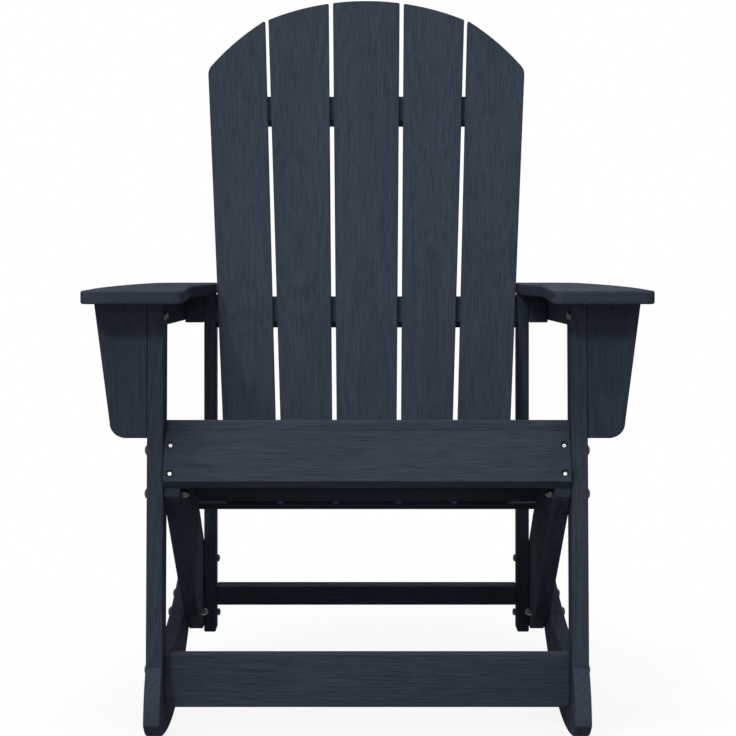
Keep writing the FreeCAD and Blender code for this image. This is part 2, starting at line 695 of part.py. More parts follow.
def back_screw_points():
    """Screws from behind each back rail into each slat, two side by side."""
    points = []
    last = len(BACK_LINE_FOOT) - 1
    for start in back_rail_starts():
        distance = start + BACK_RAIL_WIDTH / 2
        for which in range(-last, last + 1):
            inner, outer = back_slat_sides(abs(which), distance)
            middle = (inner + outer) / 2 if which >= 0 else -(inner + outer) / 2
            for side in (-1, 1):
                x = middle + side * BACK_SCREW_SPACING / 2
                points.append(back_point(x, distance, -FRAME_THICKNESS))
    return points


def make_back_rail(start, half_length):
    board = block(vector(-half_length, start, -FRAME_THICKNESS),
                  vector(half_length, start + BACK_RAIL_WIDTH, 0))
    rail = eased(board)
    rail.Placement = back_placement()
    for point in back_screw_points():
        rail = rail.cut(screw_hole(point, back_forward(), BACK_SCREW_LENGTH))
    return rail


def rail_foot_screw(side):
    """A long screw down through the lower back rail's height into the seat rail."""
    lean = math.radians(BACK_RECLINE)
    start = back_point(side * SEAT_SCREW_X, LOWER_RAIL_START + BACK_RAIL_WIDTH, -FRAME_THICKNESS / 2)
    return start, vector(0, -math.sin(lean), -math.cos(lean))


def make_lower_back_rail():
    rail = make_back_rail(LOWER_RAIL_START, LEG_INNER - SEAT_END_GAP)
    for side in (-1, 1):
        start, direction = rail_foot_screw(side)
        rail = rail.cut(screw_hole(start, direction, RAIL_FOOT_SCREW_LENGTH))
    return rail


def rail_end_screw_points(side):
    """Screws through the upright's outer face into the middle back rail's end."""
    points = []
    rail_middle = back_point(0, MIDDLE_RAIL_START + BACK_RAIL_WIDTH / 2, 0)
    for step in (-0.5, 0.5):
        height = rail_middle.z + step * RAIL_END_SCREW_SPACING
        face = rail_middle.y + (height - rail_middle.z) * tangent(BACK_RECLINE)
        rear = face + FRAME_THICKNESS / math.cos(math.radians(BACK_RECLINE))
        depth = (max(face, upright_front(height)) + rear) / 2
        points.append(vector(side * SEAT_RAIL_INNER, depth, height))
    return points


def make_middle_back_rail():
    rail = make_back_rail(MIDDLE_RAIL_START, UPRIGHT_INNER)
    for side in (-1, 1):
        direction = vector(-side, 0, 0)
        for start in rail_end_screw_points(side):
            rail = rail.cut(screw_hole(start, direction, RAIL_END_SCREW_LENGTH))
    return rail


def make_upper_back_rail():
    edge = back_edge(len(BACK_LINE_FOOT) - 1, -1, UPPER_RAIL_START)
    return make_back_rail(UPPER_RAIL_START, edge - UPPER_RAIL_INSET)


def seat_screw_points(side):
    """Screws down through the seat boards into one seat rail, two in each end."""
    points = []
    for index in range(SEAT_SLAT_COUNT):
        middle = index * (SEAT_SLAT_WIDTH + SEAT_SLAT_GAP) + SEAT_SLAT_WIDTH / 2
        for step in (-0.5, 0.5):
            points.append(seat_point(side * SEAT_SCREW_X, middle + step * SEAT_SCREW_SPACING, SLAT_THICKNESS))
    return points


def make_seat_slat(index):
    start = index * (SEAT_SLAT_WIDTH + SEAT_SLAT_GAP)
    half = LEG_INNER - SEAT_END_GAP
    board = block(vector(-half, start, 0), vector(half, start + SEAT_SLAT_WIDTH, SLAT_THICKNESS))
    if index == 0:
        board = board.makeFillet(SEAT_FRONT_ROUND, [edge for edge in board.Edges if is_upper_front(edge)])
        board = board.makeFillet(CRISP_ROUND, [edge for edge in board.Edges if is_lower_edge(edge)])
    else:
        board = eased(board)
    board.Placement = seat_placement()
    for side in (-1, 1):
        for start_point in seat_screw_points(side):
            board = board.cut(screw_hole(start_point, seat_down(), SEAT_SCREW_LENGTH))
    return board


def is_upper_front(edge):
    """Whether an edge of the front seat board lies around its top: in front or at an end."""
    middle = edge.CenterOfMass
    at_end = abs(middle.x) > LEG_INNER / 2
    return middle.z > SLAT_THICKNESS - 1e-6 and (middle.y < 1e-6 or at_end)


def is_lower_edge(edge):
    """Whether an edge of the front seat board lies around its underside."""
    return all(point.Point.z < 1e-6 for point in edge.Vertexes)


def apron_screw_points(side):
    """Screw heads at the bottom of their recesses in the apron, at one end."""
    return [rail_point(side * APRON_SCREW_X, -FRAME_THICKNESS + APRON_RECESS_DEPTH,
                       APRON_RISE + APRON_SCREW_FOOT + step * APRON_SCREW_SPACING) for step in (0, 1)]


def make_seat_apron():
    half = LEG_INNER - SEAT_END_GAP
    board = block(vector(-half, -FRAME_THICKNESS, APRON_RISE), vector(half, 0, APRON_RISE + APRON_WIDTH))
    apron = eased(board, CRISP_ROUND)
    apron.Placement = rail_placement()
    for side in (-1, 1):
        for start in apron_screw_points(side):
            apron = apron.cut(screw_hole(start, rail_back(), APRON_SCREW_LENGTH))
            face = start - rail_back() * APRON_RECESS_DEPTH
            apron = apron.cut(Part.makeCylinder(APRON_RECESS_RADIUS, APRON_RECESS_DEPTH, face, rail_back()))
    return apron


def make_front_stretcher():
    low = vector(-LEG_INNER, FRONT_STRETCHER_DEPTH, FRONT_STRETCHER_LOW)
    high = vector(LEG_INNER, FRONT_STRETCHER_DEPTH + FRAME_THICKNESS,
                  FRONT_STRETCHER_LOW + FRONT_STRETCHER_HEIGHT)
    board = eased(block(low, high))
    for depth, height in lap_lag_points():
        for side in (-1, 1):
            start = vector(side * LEG_INNER, depth, height)
            board = board.cut(bolt_hole(start, vector(-side, 0, 0), LAG_BITE))
    return board


def make_rear_stretcher():
    low = REAR_STRETCHER_LOW
    high = low + REAR_STRETCHER_HEIGHT
    inset = REAR_STRETCHER_INSET
    steps = [side_point(upright_front(low) + inset, low), side_point(upright_rear(low) - inset, low),
             side_point(upright_rear(high) - inset, high), side_point(upright_front(high) + inset, high)]
    board = eased(side_board(steps, -UPRIGHT_INNER, UPRIGHT_INNER))
    depth, height = rear_lag_point()
    for side in (-1, 1):
        start = vector(side * UPRIGHT_INNER, depth, height)
        board = board.cut(bolt_hole(start, vector(-side, 0, 0), LAG_BITE))
    return board


def both_sides(pieces):
    return pieces + [mirrored(piece) for piece in pieces]


SIDE_NUT = (LEG_OUTER, SEAT_RAIL_INNER, SIDE_WASHER_THICKNESS, SIDE_NUT_HEIGHT, SIDE_NUT_DOME)
UPRIGHT_NUT = (LEG_INNER, UPRIGHT_INNER, UPRIGHT_WASHER_THICKNESS, UPRIGHT_NUT_HEIGHT, UPRIGHT_NUT_DOME)


def side_bolt_points():
    return leg_bolt_points() + [(RUNNER_BOLT_DEPTH, RUNNER_BOLT_HEIGHT)]


def make_bolts(stack, points):
    """Bolts through the planes of a stack: head on its first, washer and nut on its second."""
    outer, inner, washer_thickness = stack[:3]
    length = outer - inner + washer_thickness + BOLT_END_IN_NUT
    return both_sides([domed_bolt(vector(outer, depth, height), INWARD, length) for depth, height in points])


def make_washers(stack, points):
    inner, thickness = stack[1:3]
    return both_sides([washer(vector(inner, depth, height), INWARD, thickness) for depth, height in points])


def make_nuts(stack, points):
    inner, washer_thickness, nut_height, dome_height = stack[1:]
    seat = inner - washer_thickness
    return both_sides([dome_nut(vector(seat, depth, height), INWARD, nut_height, dome_height)
                       for depth, height in points])


def make_lap_lags():
    length = FRAME_THICKNESS + LAG_BITE
    return both_sides([domed_bolt(vector(LEG_OUTER, depth, height), INWARD, length)
                       for depth, height in lap_lag_points()])


def make_rear_lags():
    depth, height = rear_lag_point()
    return both_sides([domed_bolt(vector(LEG_OUTER, depth, height), INWARD, rear_lag_length())])


def make_bracket_lags():
    depth, height = bracket_lag_point()
    length = FRAME_THICKNESS + BRACKET_LAG_BITE
    return both_sides([domed_bolt(vector(LEG_INNER, depth, height), OUTWARD, length)])


def make_apron_screws():
    return both_sides([flat_screw(start, rail_back(), APRON_SCREW_LENGTH) for start in apron_screw_points(1)])


def make_seat_screws():
    return both_sides([flat_screw(start, seat_down(), SEAT_SCREW_LENGTH) for start in seat_screw_points(1)])


def make_back_screws():
    return [flat_screw(start, back_forward(), BACK_SCREW_LENGTH) for start in back_screw_points()]


def make_rail_end_screws():
    points = rail_end_screw_points(1)
    return both_sides([flat_screw(start, INWARD, RAIL_END_SCREW_LENGTH) for start in points])


def make_rail_foot_screws():
    start, direction = rail_foot_screw(1)
    return both_sides([flat_screw(start, direction, RAIL_FOOT_SCREW_LENGTH)])


def make_arm_screws():
    return both_sides([flat_screw(start, DOWN, ARM_SCREW_LENGTH) for start in arm_screw_points()])


def make_arm_block_screws():
    return both_sides([flat_screw(start, DOWN, ARM_RAIL_SCREW_LENGTH) for start in arm_block_screw_points()])


def build():
    """Every piece by its node's name; a node of identical fasteners holds several solids."""
    nodes = {}
    sided = {"runner": make_runner, "front_leg": make_front_leg, "seat_rail": make_seat_rail,
             "rear_upright": make_rear_upright, "arm": make_arm, "arm_bracket": make_arm_bracket,
             "arm_block": make_arm_block, "arm_rail": make_arm_rail}
    for name, make in sided.items():
        piece = make()
        nodes["right_" + name] = [piece]
        nodes["left_" + name] = [mirrored(piece)]
    nodes["middle_back_slat"] = [make_back_slat(0)]
    for which, place in ((1, "inner"), (2, "outer")):
        piece = make_back_slat(which)
        nodes["right_%s_back_slat" % place] = [piece]
        nodes["left_%s_back_slat" % place] = [mirrored(piece)]
    nodes["lower_back_rail"] = [make_lower_back_rail()]
    nodes["middle_back_rail"] = [make_middle_back_rail()]
    nodes["upper_back_rail"] = [make_upper_back_rail()]
    nodes["seat_apron"] = [make_seat_apron()]
    for index in range(SEAT_SLAT_COUNT):
        nodes["seat_slat_%d" % (index + 1)] = [make_seat_slat(index)]
    nodes["front_stretcher"] = [make_front_stretcher()]
    nodes["rear_stretcher"] = [make_rear_stretcher()]
    for name, stack, points in (("side", SIDE_NUT, side_bolt_points()),
                                ("upright", UPRIGHT_NUT, upright_bolt_points())):
        nodes[name + "_bolts"] = make_bolts(stack, points)
        nodes[name + "_washers"] = make_washers(stack, points)
        nodes[name + "_nuts"] = make_nuts(stack, points)
    nodes["front_stretcher_lags"] = make_lap_lags()
    nodes["rear_stretcher_lags"] = make_rear_lags()
    nodes["bracket_lags"] = make_bracket_lags()
    nodes["apron_screws"] = make_apron_screws()
    nodes["seat_screws"] = make_seat_screws()
    nodes["back_screws"] = make_back_screws()
    nodes["rail_end_screws"] = make_rail_end_screws()
    nodes["rail_foot_screws"] = make_rail_foot_screws()
    nodes["arm_screws"] = make_arm_screws()
    nodes["arm_block_screws"] = make_arm_block_screws()
    return nodes


def main():
    nodes = build()
    whole = Part.makeCompound([piece for pieces in nodes.values() for piece in pieces])
    box = whole.optimalBoundingBox(False)
    shift = vector(0, -(box.YMin + box.YMax) / 2, 0)
    print("box", round(box.XLength, 1), round(box.YLength, 1), round(box.ZMin, 3), round(box.ZMax, 1),
          "depth shift", round(shift.y, 2))
    os.makedirs("parts", exist_ok=True)
    for name, pieces in nodes.items():
        shape = pieces[0] if len(pieces) == 1 else Part.makeCompound(pieces)
        shape.translate(shift)
        shape.exportStep("parts/%s.step" % name)
        print(name, len(shape.Solids), "solids", round(shape.Volume / 1000, 2), "cm3",
              "valid" if shape.isValid() else "NOT VALID")


main()
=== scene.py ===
"""The looks of a rocking adirondack chair: grained lumber boards, a slatted seat and steel fasteners.

Every board keeps the frame's own shape and gets an embossed grain that follows it. Rows of like
pieces, the seat slats and all the fasteners, are made by node trees from the places in the frame.
"""

import logging
import math
from dataclasses import dataclass, field, replace
from enum import Enum
from typing import Any, Iterable, Sequence

import bmesh
import bpy
import numpy as np
from mathutils import Matrix, Vector


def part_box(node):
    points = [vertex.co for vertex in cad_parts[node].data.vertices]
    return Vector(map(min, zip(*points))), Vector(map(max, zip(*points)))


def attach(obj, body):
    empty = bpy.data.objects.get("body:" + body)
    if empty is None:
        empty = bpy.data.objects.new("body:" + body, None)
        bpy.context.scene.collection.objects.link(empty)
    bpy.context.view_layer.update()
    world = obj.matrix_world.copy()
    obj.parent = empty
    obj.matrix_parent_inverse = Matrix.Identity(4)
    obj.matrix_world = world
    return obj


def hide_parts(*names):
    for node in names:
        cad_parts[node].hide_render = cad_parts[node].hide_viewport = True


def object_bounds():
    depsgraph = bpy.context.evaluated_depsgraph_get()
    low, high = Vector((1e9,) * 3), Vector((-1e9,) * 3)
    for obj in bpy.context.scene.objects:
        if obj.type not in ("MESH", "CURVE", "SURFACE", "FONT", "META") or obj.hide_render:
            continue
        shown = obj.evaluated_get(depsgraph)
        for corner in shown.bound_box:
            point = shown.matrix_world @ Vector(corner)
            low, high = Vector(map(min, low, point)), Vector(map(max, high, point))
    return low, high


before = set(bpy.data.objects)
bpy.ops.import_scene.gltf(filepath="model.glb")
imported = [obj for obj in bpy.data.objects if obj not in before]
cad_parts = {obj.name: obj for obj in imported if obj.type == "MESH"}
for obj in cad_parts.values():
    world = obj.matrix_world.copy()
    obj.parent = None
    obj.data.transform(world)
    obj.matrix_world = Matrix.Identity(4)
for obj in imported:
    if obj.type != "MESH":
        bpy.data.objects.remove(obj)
CAD_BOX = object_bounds()

LOG = logging.getLogger("chair")
BODY = "root"
MERGE_DISTANCE = 1e-6
SMOOTH_ANGLE = math.radians(32)
MILLIMETRE = 0.001

Colour = tuple[float, float, float]
Feed = float | int | bool | tuple | Vector | bpy.types.NodeSocket | bpy.types.Material


class TreeKind(Enum):
    """What a node tree works on."""

    SHADER = "ShaderNodeTree"
    GEOMETRY = "GeometryNodeTree"


class Socket(Enum):
    """The kinds of value that go in and out of a group."""

    NUMBER = "NodeSocketFloat"
    WHOLE = "NodeSocketInt"
    VECTOR = "NodeSocketVector"
    COLOUR = "NodeSocketColor"
    GEOMETRY = "NodeSocketGeometry"
    MATERIAL = "NodeSocketMaterial"


class Drive(Enum):
    """What is cut into a fastener's head for the tool that turns it."""

    HEXAGON = "hexagon"
    CROSS = "cross"
    NONE = "none"


class Graph:
    """A short way to fill a node tree, in which an input takes a value or another node's output."""

    def __init__(self, tree: bpy.types.NodeTree) -> None:
        """Works on an existing tree.

        Args:
            tree: The tree to fill.
        """
        self.tree = tree
        self.entry: bpy.types.Node | None = None
        self.exit: bpy.types.Node | None = None

    @classmethod
    def group(cls, name: str, kind: TreeKind, inputs: Sequence[tuple], outputs: Sequence[tuple]) -> "Graph":
        """Starts a group with named sockets.

        Args:
            name: The group's name.
            kind: What the group works on.
            inputs: For each input its name, its Socket and, where it has one, its default.
            outputs: For each output its name and its Socket.

        Returns:
            The graph of the new group, with its entry and exit nodes.
        """
        graph = cls(bpy.data.node_groups.new(name, kind.value))
        for entry_name, socket, *default in inputs:
            made = graph.tree.interface.new_socket(entry_name, in_out="INPUT", socket_type=socket.value)
            if default:
                made.default_value = default[0]
        for exit_name, socket in outputs:
            graph.tree.interface.new_socket(exit_name, in_out="OUTPUT", socket_type=socket.value)
        graph.entry = graph.tree.nodes.new("NodeGroupInput")
        graph.exit = graph.tree.nodes.new("NodeGroupOutput")
        return graph

    def given(self, name: str) -> bpy.types.NodeSocket:
        """The group's own input of that name."""
        return self.entry.outputs[name]

    def feed(self, socket: bpy.types.NodeSocket, value: Feed) -> None:
        """Links an output to an input, or sets the input's own value.

        Args:
            socket: The input.
            value: An output socket or a plain value.
        """
        if isinstance(value, bpy.types.NodeSocket):
            self.tree.links.new(value, socket)
        else:
            socket.default_value = value

    def add(self, kind: str, feeds: dict[Any, Feed] | None = None, **settings: Any) -> bpy.types.Node:
        """Adds a node.

        Args:
            kind: Blender's name for the node.
            feeds: What goes into each input, by the input's name or number.
            settings: The node's own properties.

        Returns:
            The new node.
        """
        node = self.tree.nodes.new(kind)
        for key, value in settings.items():
            setattr(node, key, value)
        for key, value in (feeds or {}).items():
            self.feed(node.inputs[key], value)
        return node

    def math(self, operation: str, *values: Feed, clamp: bool = False) -> bpy.types.NodeSocket:
        """A Math node's result.

        Args:
            operation: What it does.
            values: Its inputs in order.
            clamp: Whether the result is kept between 0 and 1.

        Returns:
            The output.
        """
        node = self.add("ShaderNodeMath", dict(enumerate(values)), operation=operation, use_clamp=clamp)
        return node.outputs[0]

    def vector(self, operation: str, *values: Feed, number: bool = False) -> bpy.types.NodeSocket:
        """A Vector Math node's result.

        Args:
            operation: What it does.
            values: Its inputs in order; for SCALE the second is the factor.
            number: Whether the wanted output is the number and not the vector.

        Returns:
            The output.
        """
        node = self.add("ShaderNodeVectorMath", operation=operation)
        places = (0, 3) if operation == "SCALE" else range(len(values))
        for place, value in zip(places, values):
            self.feed(node.inputs[place], value)
        return node.outputs["Value" if number else "Vector"]

    def remap(self, value: Feed, low: float, high: float, to_low: float = 0.0,
              to_high: float = 1.0) -> bpy.types.NodeSocket:
        """A smooth step from one range to another.

        Args:
            value: The number to map.
            low: Where the step starts.
            high: Where the step ends.
            to_low: The result at its start.
            to_high: The result at its end.

        Returns:
            The output.
        """
        feeds = {"Value": value, "From Min": low, "From Max": high, "To Min": to_low, "To Max": to_high}
        return self.add("ShaderNodeMapRange", feeds, interpolation_type="SMOOTHSTEP").outputs["Result"]

    def noise(self, place: Feed, detail: float = 2.0, roughness: float = 0.5) -> bpy.types.NodeSocket:
        """Noise of unit scale at a place, as a number about one half.

        Args:
            place: Where to read it, already scaled.
            detail: How many finer layers it has.
            roughness: How strong those layers are.

        Returns:
            The output.
        """
        feeds = {"Vector": place, "Scale": 1.0, "Detail": detail, "Roughness": roughness}
        return self.add("ShaderNodeTexNoise", feeds).outputs[0]

    def mix(self, share: Feed, first: Feed, second: Feed) -> bpy.types.NodeSocket:
        """A blend of two colours.

        Args:
            share: How much of the second there is.
            first: The first colour.
            second: The second colour.

        Returns:
            The output.
        """
        node = self.add("ShaderNodeMix", data_type="RGBA")
        for number, value in ((0, share), (6, first), (7, second)):
            self.feed(node.inputs[number], value)
        return node.outputs[2]

    def place(self, group: "Graph", feeds: dict[Any, Feed]) -> bpy.types.Node:
        """Puts a finished group into this tree.

        Args:
            group: The group's graph.
            feeds: What goes into its inputs, by name.

        Returns:
            The new node.
        """
        kind = "ShaderNodeGroup" if self.tree.bl_idname == TreeKind.SHADER.value else "GeometryNodeGroup"
        return self.add(kind, feeds, node_tree=group.tree)

    def give(self, name: str, value: Feed) -> None:
        """Feeds one of the group's outputs."""
        self.feed(self.exit.inputs[name], value)


def rgba(colour: Colour) -> tuple[float, float, float, float]:
    """A colour with full alpha, as sockets take it."""
    return (*colour, 1.0)


def wood_grain() -> Graph:
    """Embossed wood grain in a board's own directions: along X, across Y and through Z.

    Returns:
        A group that gives the emboss height, the share of dark streaks and a slow change of tone.
    """
    graph = Graph.group(
        "wood_grain", TreeKind.SHADER,
        [("Grain", Socket.VECTOR), ("Streak Length", Socket.NUMBER, 0.04), ("Streak Width", Socket.NUMBER, 0.003),
         ("Ring Width", Socket.NUMBER, 0.011), ("Ring Share", Socket.NUMBER, 0.5),
         ("Heart Depth", Socket.NUMBER, 0.05), ("Wander", Socket.NUMBER, 0.012)],
        [("Height", Socket.NUMBER), ("Streaks", Socket.NUMBER), ("Tone", Socket.NUMBER)])
    grain = graph.given("Grain")
    swirl = graph.noise(graph.vector("MULTIPLY", grain, (4.0, 13.0, 13.0)), detail=1.0)
    drift = graph.math("MULTIPLY", graph.math("SUBTRACT", swirl, 0.5), graph.given("Wander"))
    flowing = graph.vector("ADD", grain, graph.add("ShaderNodeCombineXYZ", {1: drift, 2: drift}).outputs[0])
    per_length = graph.math("DIVIDE", 1.0, graph.given("Streak Length"))
    per_width = graph.math("DIVIDE", 1.0, graph.given("Streak Width"))
    scale = graph.add("ShaderNodeCombineXYZ", {0: per_length, 1: per_width, 2: per_width}).outputs[0]
    fibres = graph.noise(graph.vector("MULTIPLY", flowing, scale), detail=4.0, roughness=0.62)
    pores = graph.noise(graph.vector("MULTIPLY", flowing, graph.vector("SCALE", scale, 1.9)), detail=1.0)
    pores = graph.remap(pores, 0.56, 0.70)
    heart = graph.add("ShaderNodeAttribute", attribute_name="heart").outputs["Vector"]
    rise = graph.noise(graph.vector("MULTIPLY", grain, (3.2, 0.0, 0.0)), detail=1.0)
    rise = graph.math("MULTIPLY", graph.math("SUBTRACT", rise, 0.5), graph.math("MULTIPLY", graph.given("Heart Depth"), 2.0))
    away = graph.vector("ADD", graph.vector("MULTIPLY", heart, (0.0, 1.0, 1.0)),
                        graph.add("ShaderNodeCombineXYZ", {1: drift, 2: graph.math("ADD", rise, graph.given("Heart Depth"))}).outputs[0])
    radial = graph.vector("LENGTH", away, number=True)
    turns = graph.math("MULTIPLY", graph.math("DIVIDE", radial, graph.given("Ring Width")), math.tau)
    rings = graph.math("MULTIPLY_ADD", graph.math("SINE", turns), 0.5, 0.5)
    rings = graph.math("MULTIPLY", rings, graph.given("Ring Share"))
    height = graph.math("ADD", fibres, graph.math("MULTIPLY", rings, 0.4))
    graph.give("Height", graph.math("SUBTRACT", height, graph.math("MULTIPLY", pores, 0.35)))
    dark = graph.remap(fibres, 0.50, 0.34)
    graph.give("Streaks", graph.math("MAXIMUM", dark, graph.math("MULTIPLY", pores, 0.8)))
    tone = graph.noise(graph.vector("MULTIPLY", grain, (3.0, 14.0, 14.0)), detail=3.0)
    graph.give("Tone", graph.math("ADD", tone, graph.math("MULTIPLY", graph.math("SUBTRACT", rings, 0.3), 0.35)))
    return graph


def edge_wear_and_highlight() -> Graph:
    """Rub marks on a board's rounded edges, uneven along their length, which also paint a lighter highlight along
    those edges.

    Returns:
        A group that gives a mask from a board's "facing" attribute.
    """
    graph = Graph.group(
        "edge_wear_and_highlight", TreeKind.SHADER,
        [("Grain", Socket.VECTOR), ("Facing", Socket.VECTOR), ("Amount", Socket.NUMBER, 0.5)],
        [("Mask", Socket.NUMBER)])
    parts = graph.add("ShaderNodeSeparateXYZ", {0: graph.given("Facing")}).outputs
    flat = graph.math("MAXIMUM", graph.math("MAXIMUM", parts[0], parts[1]), parts[2])
    rounded = graph.remap(flat, 0.985, 0.90)
    uneven = graph.noise(graph.vector("SCALE", graph.given("Grain"), 60.0), detail=4.0, roughness=0.65)
    # The lighter rounded edge is rub wear together with a painted highlight on the rounding.
    worn_and_lit = graph.math("MULTIPLY", rounded, graph.remap(uneven, 0.35, 0.7, 0.25, 1.0))
    graph.give("Mask", graph.math("MULTIPLY", worn_and_lit, graph.given("Amount")))
    return graph


def fine_dust() -> Graph:
    """A thin film of dust on what faces up, in soft patches.

    Returns:
        A group that gives a mask.
    """
    graph = Graph.group("fine_dust", TreeKind.SHADER, [("Amount", Socket.NUMBER, 0.1)], [("Mask", Socket.NUMBER)])
    normal = graph.add("ShaderNodeNewGeometry").outputs["Normal"]
    upward = graph.remap(graph.add("ShaderNodeSeparateXYZ", {0: normal}).outputs[2], 0.3, 1.0)
    place = graph.add("ShaderNodeTexCoord").outputs["Object"]
    patches = graph.remap(graph.noise(graph.vector("SCALE", place, 22.0), detail=5.0, roughness=0.6), 0.3, 0.75)
    graph.give("Mask", graph.math("MULTIPLY", graph.math("MULTIPLY", upward, patches), graph.given("Amount")))
    return graph


def saw_marks() -> Graph:
    """Fine saw lines across a board's cut ends.

    Returns:
        A group that gives a height and the share of cut end at a point.
    """
    graph = Graph.group(
        "saw_marks", TreeKind.SHADER,
        [("Grain", Socket.VECTOR), ("Facing", Socket.VECTOR), ("Pitch", Socket.NUMBER, 0.0011)],
        [("Height", Socket.NUMBER), ("Cut", Socket.NUMBER)])
    place = graph.add("ShaderNodeSeparateXYZ", {0: graph.given("Grain")}).outputs
    wobble = graph.noise(graph.vector("SCALE", graph.given("Grain"), 180.0), detail=2.0)
    lines = graph.math("ADD", graph.math("DIVIDE", place[1], graph.given("Pitch")), wobble)
    wave = graph.math("MULTIPLY_ADD", graph.math("SINE", graph.math("MULTIPLY", lines, math.tau)), 0.5, 0.5)
    cut = graph.remap(graph.add("ShaderNodeSeparateXYZ", {0: graph.given("Facing")}).outputs[0], 0.80, 0.95)
    graph.give("Height", graph.math("MULTIPLY", wave, cut))
    graph.give("Cut", cut)
    return graph


def worn_steel() -> Graph:
    """Brushing, fingerprints and faint stains of bare stainless steel.

    Returns:
        A group that gives a height, a roughness and the share of stain.
    """
    graph = Graph.group(
        "worn_steel", TreeKind.SHADER, [("Brush Width", Socket.NUMBER, 0.0002), ("Roughness", Socket.NUMBER, 0.3)],
        [("Height", Socket.NUMBER), ("Roughness", Socket.NUMBER), ("Stain", Socket.NUMBER)])
    place = graph.add("ShaderNodeTexCoord").outputs["Object"]
    per_width = graph.math("DIVIDE", 1.0, graph.given("Brush Width"))
    across = graph.math("MULTIPLY", per_width, 0.12)
    scale = graph.add("ShaderNodeCombineXYZ", {0: across, 1: per_width, 2: across}).outputs[0]
    brushing = graph.noise(graph.vector("MULTIPLY", place, scale), detail=2.0)
    blotch = graph.noise(graph.vector("SCALE", place, 420.0), detail=4.0, roughness=0.6)
    graph.give("Height", brushing)
    rough = graph.math("ADD", graph.given("Roughness"), graph.math("MULTIPLY", brushing, 0.10))
    graph.give("Roughness", graph.math("ADD", rough, graph.math("MULTIPLY", blotch, 0.12)))
    graph.give("Stain", graph.remap(blotch, 0.55, 0.8))
    return graph


@dataclass(frozen=True)
class SharedEffects:
    """The effect groups that the finishes share."""

    grain: Graph
    # Rub wear on rounded edges, which also paints a highlight there.
    wear_and_highlight: Graph
    dust: Graph
    saw: Graph
    steel: Graph

    @classmethod
    def make(cls) -> "SharedEffects":
        """Builds each group once."""
        return cls(wood_grain(), edge_wear_and_highlight(), fine_dust(), saw_marks(), worn_steel())


def new_material(name: str) -> tuple[bpy.types.Material, Graph, bpy.types.Node]:
    """Starts a material.

    Args:
        name: Its name.

    Returns:
        The material, its graph and its shader node.
    """
    material = bpy.data.materials.new(name)
    material.use_nodes = True
    shader = material.node_tree.nodes["Principled BSDF"]
    return material, Graph(material.node_tree), shader


@dataclass(frozen=True)
class PolyLumber:
    """Plastic lumber with an embossed wood grain, dark navy grey."""

    name: str = "poly_lumber"
    base: Colour = (0.0345, 0.0460, 0.0640)
    streak: Colour = (0.0235, 0.0315, 0.0460)
    ridge: Colour = (0.0430, 0.0535, 0.0765)
    # The lighter colour of worn rounded edges, which also paints a highlight along them.
    rubbed_highlight: Colour = (0.050, 0.060, 0.080)
    dust: Colour = (0.20, 0.19, 0.175)
    streak_length: float = 0.06
    streak_width: float = 0.0023
    ring_width: float = 0.0085
    ring_share: float = 0.65
    emboss: float = 0.0008
    roughness: float = 0.82
    gloss: float = 0.01
    # How much rub wear and painted edge highlight the rounded edges get.
    wear_and_highlight: float = 0.08
    dust_amount: float = 0.03

    def make(self, effects: SharedEffects) -> bpy.types.Material:
        """Builds the material.

        Args:
            effects: The shared groups.

        Returns:
            The material.
        """
        material, graph, shader = new_material(self.name)
        grain = graph.add("ShaderNodeAttribute", attribute_name="grain").outputs["Vector"]
        facing = graph.add("ShaderNodeAttribute", attribute_name="facing").outputs["Vector"]
        wood = graph.place(effects.grain, {"Grain": grain, "Streak Length": self.streak_length,
                                           "Streak Width": self.streak_width, "Ring Width": self.ring_width,
                                           "Ring Share": self.ring_share}).outputs
        saw = graph.place(effects.saw, {"Grain": grain, "Facing": facing}).outputs
        worn_and_lit = graph.place(effects.wear_and_highlight, {"Grain": grain, "Facing": facing, "Amount": self.wear_and_highlight}).outputs["Mask"]
        dusty = graph.place(effects.dust, {"Amount": self.dust_amount}).outputs["Mask"]
        along = graph.math("SUBTRACT", 1.0, saw["Cut"])
        colour = graph.mix(graph.remap(wood["Tone"], 0.30, 0.75), rgba(self.base), rgba(self.ridge))
        streaks = graph.math("MULTIPLY", wood["Streaks"], along)
        colour = graph.mix(graph.math("MULTIPLY", streaks, 0.62), colour, rgba(self.streak))
        # Lighter rounded edges: rub wear together with a painted highlight.
        colour = graph.mix(worn_and_lit, colour, rgba(self.rubbed_highlight))
        graph.feed(shader.inputs["Base Color"], graph.mix(dusty, colour, rgba(self.dust)))
        rough = graph.math("MULTIPLY_ADD", wood["Streaks"], 0.12, self.roughness)
        rough = graph.math("SUBTRACT", rough, graph.math("MULTIPLY", worn_and_lit, 0.12))
        graph.feed(shader.inputs["Roughness"], rough)
        height = graph.math("MULTIPLY", wood["Height"], along)
        height = graph.math("ADD", height, graph.math("MULTIPLY", saw["Height"], 0.35))
        bump = graph.add("ShaderNodeBump", {"Height": height, "Distance": self.emboss, "Strength": 1.0})
        graph.feed(shader.inputs["Normal"], bump.outputs[0])
        shader.inputs["Specular IOR Level"].default_value = self.gloss
        return material


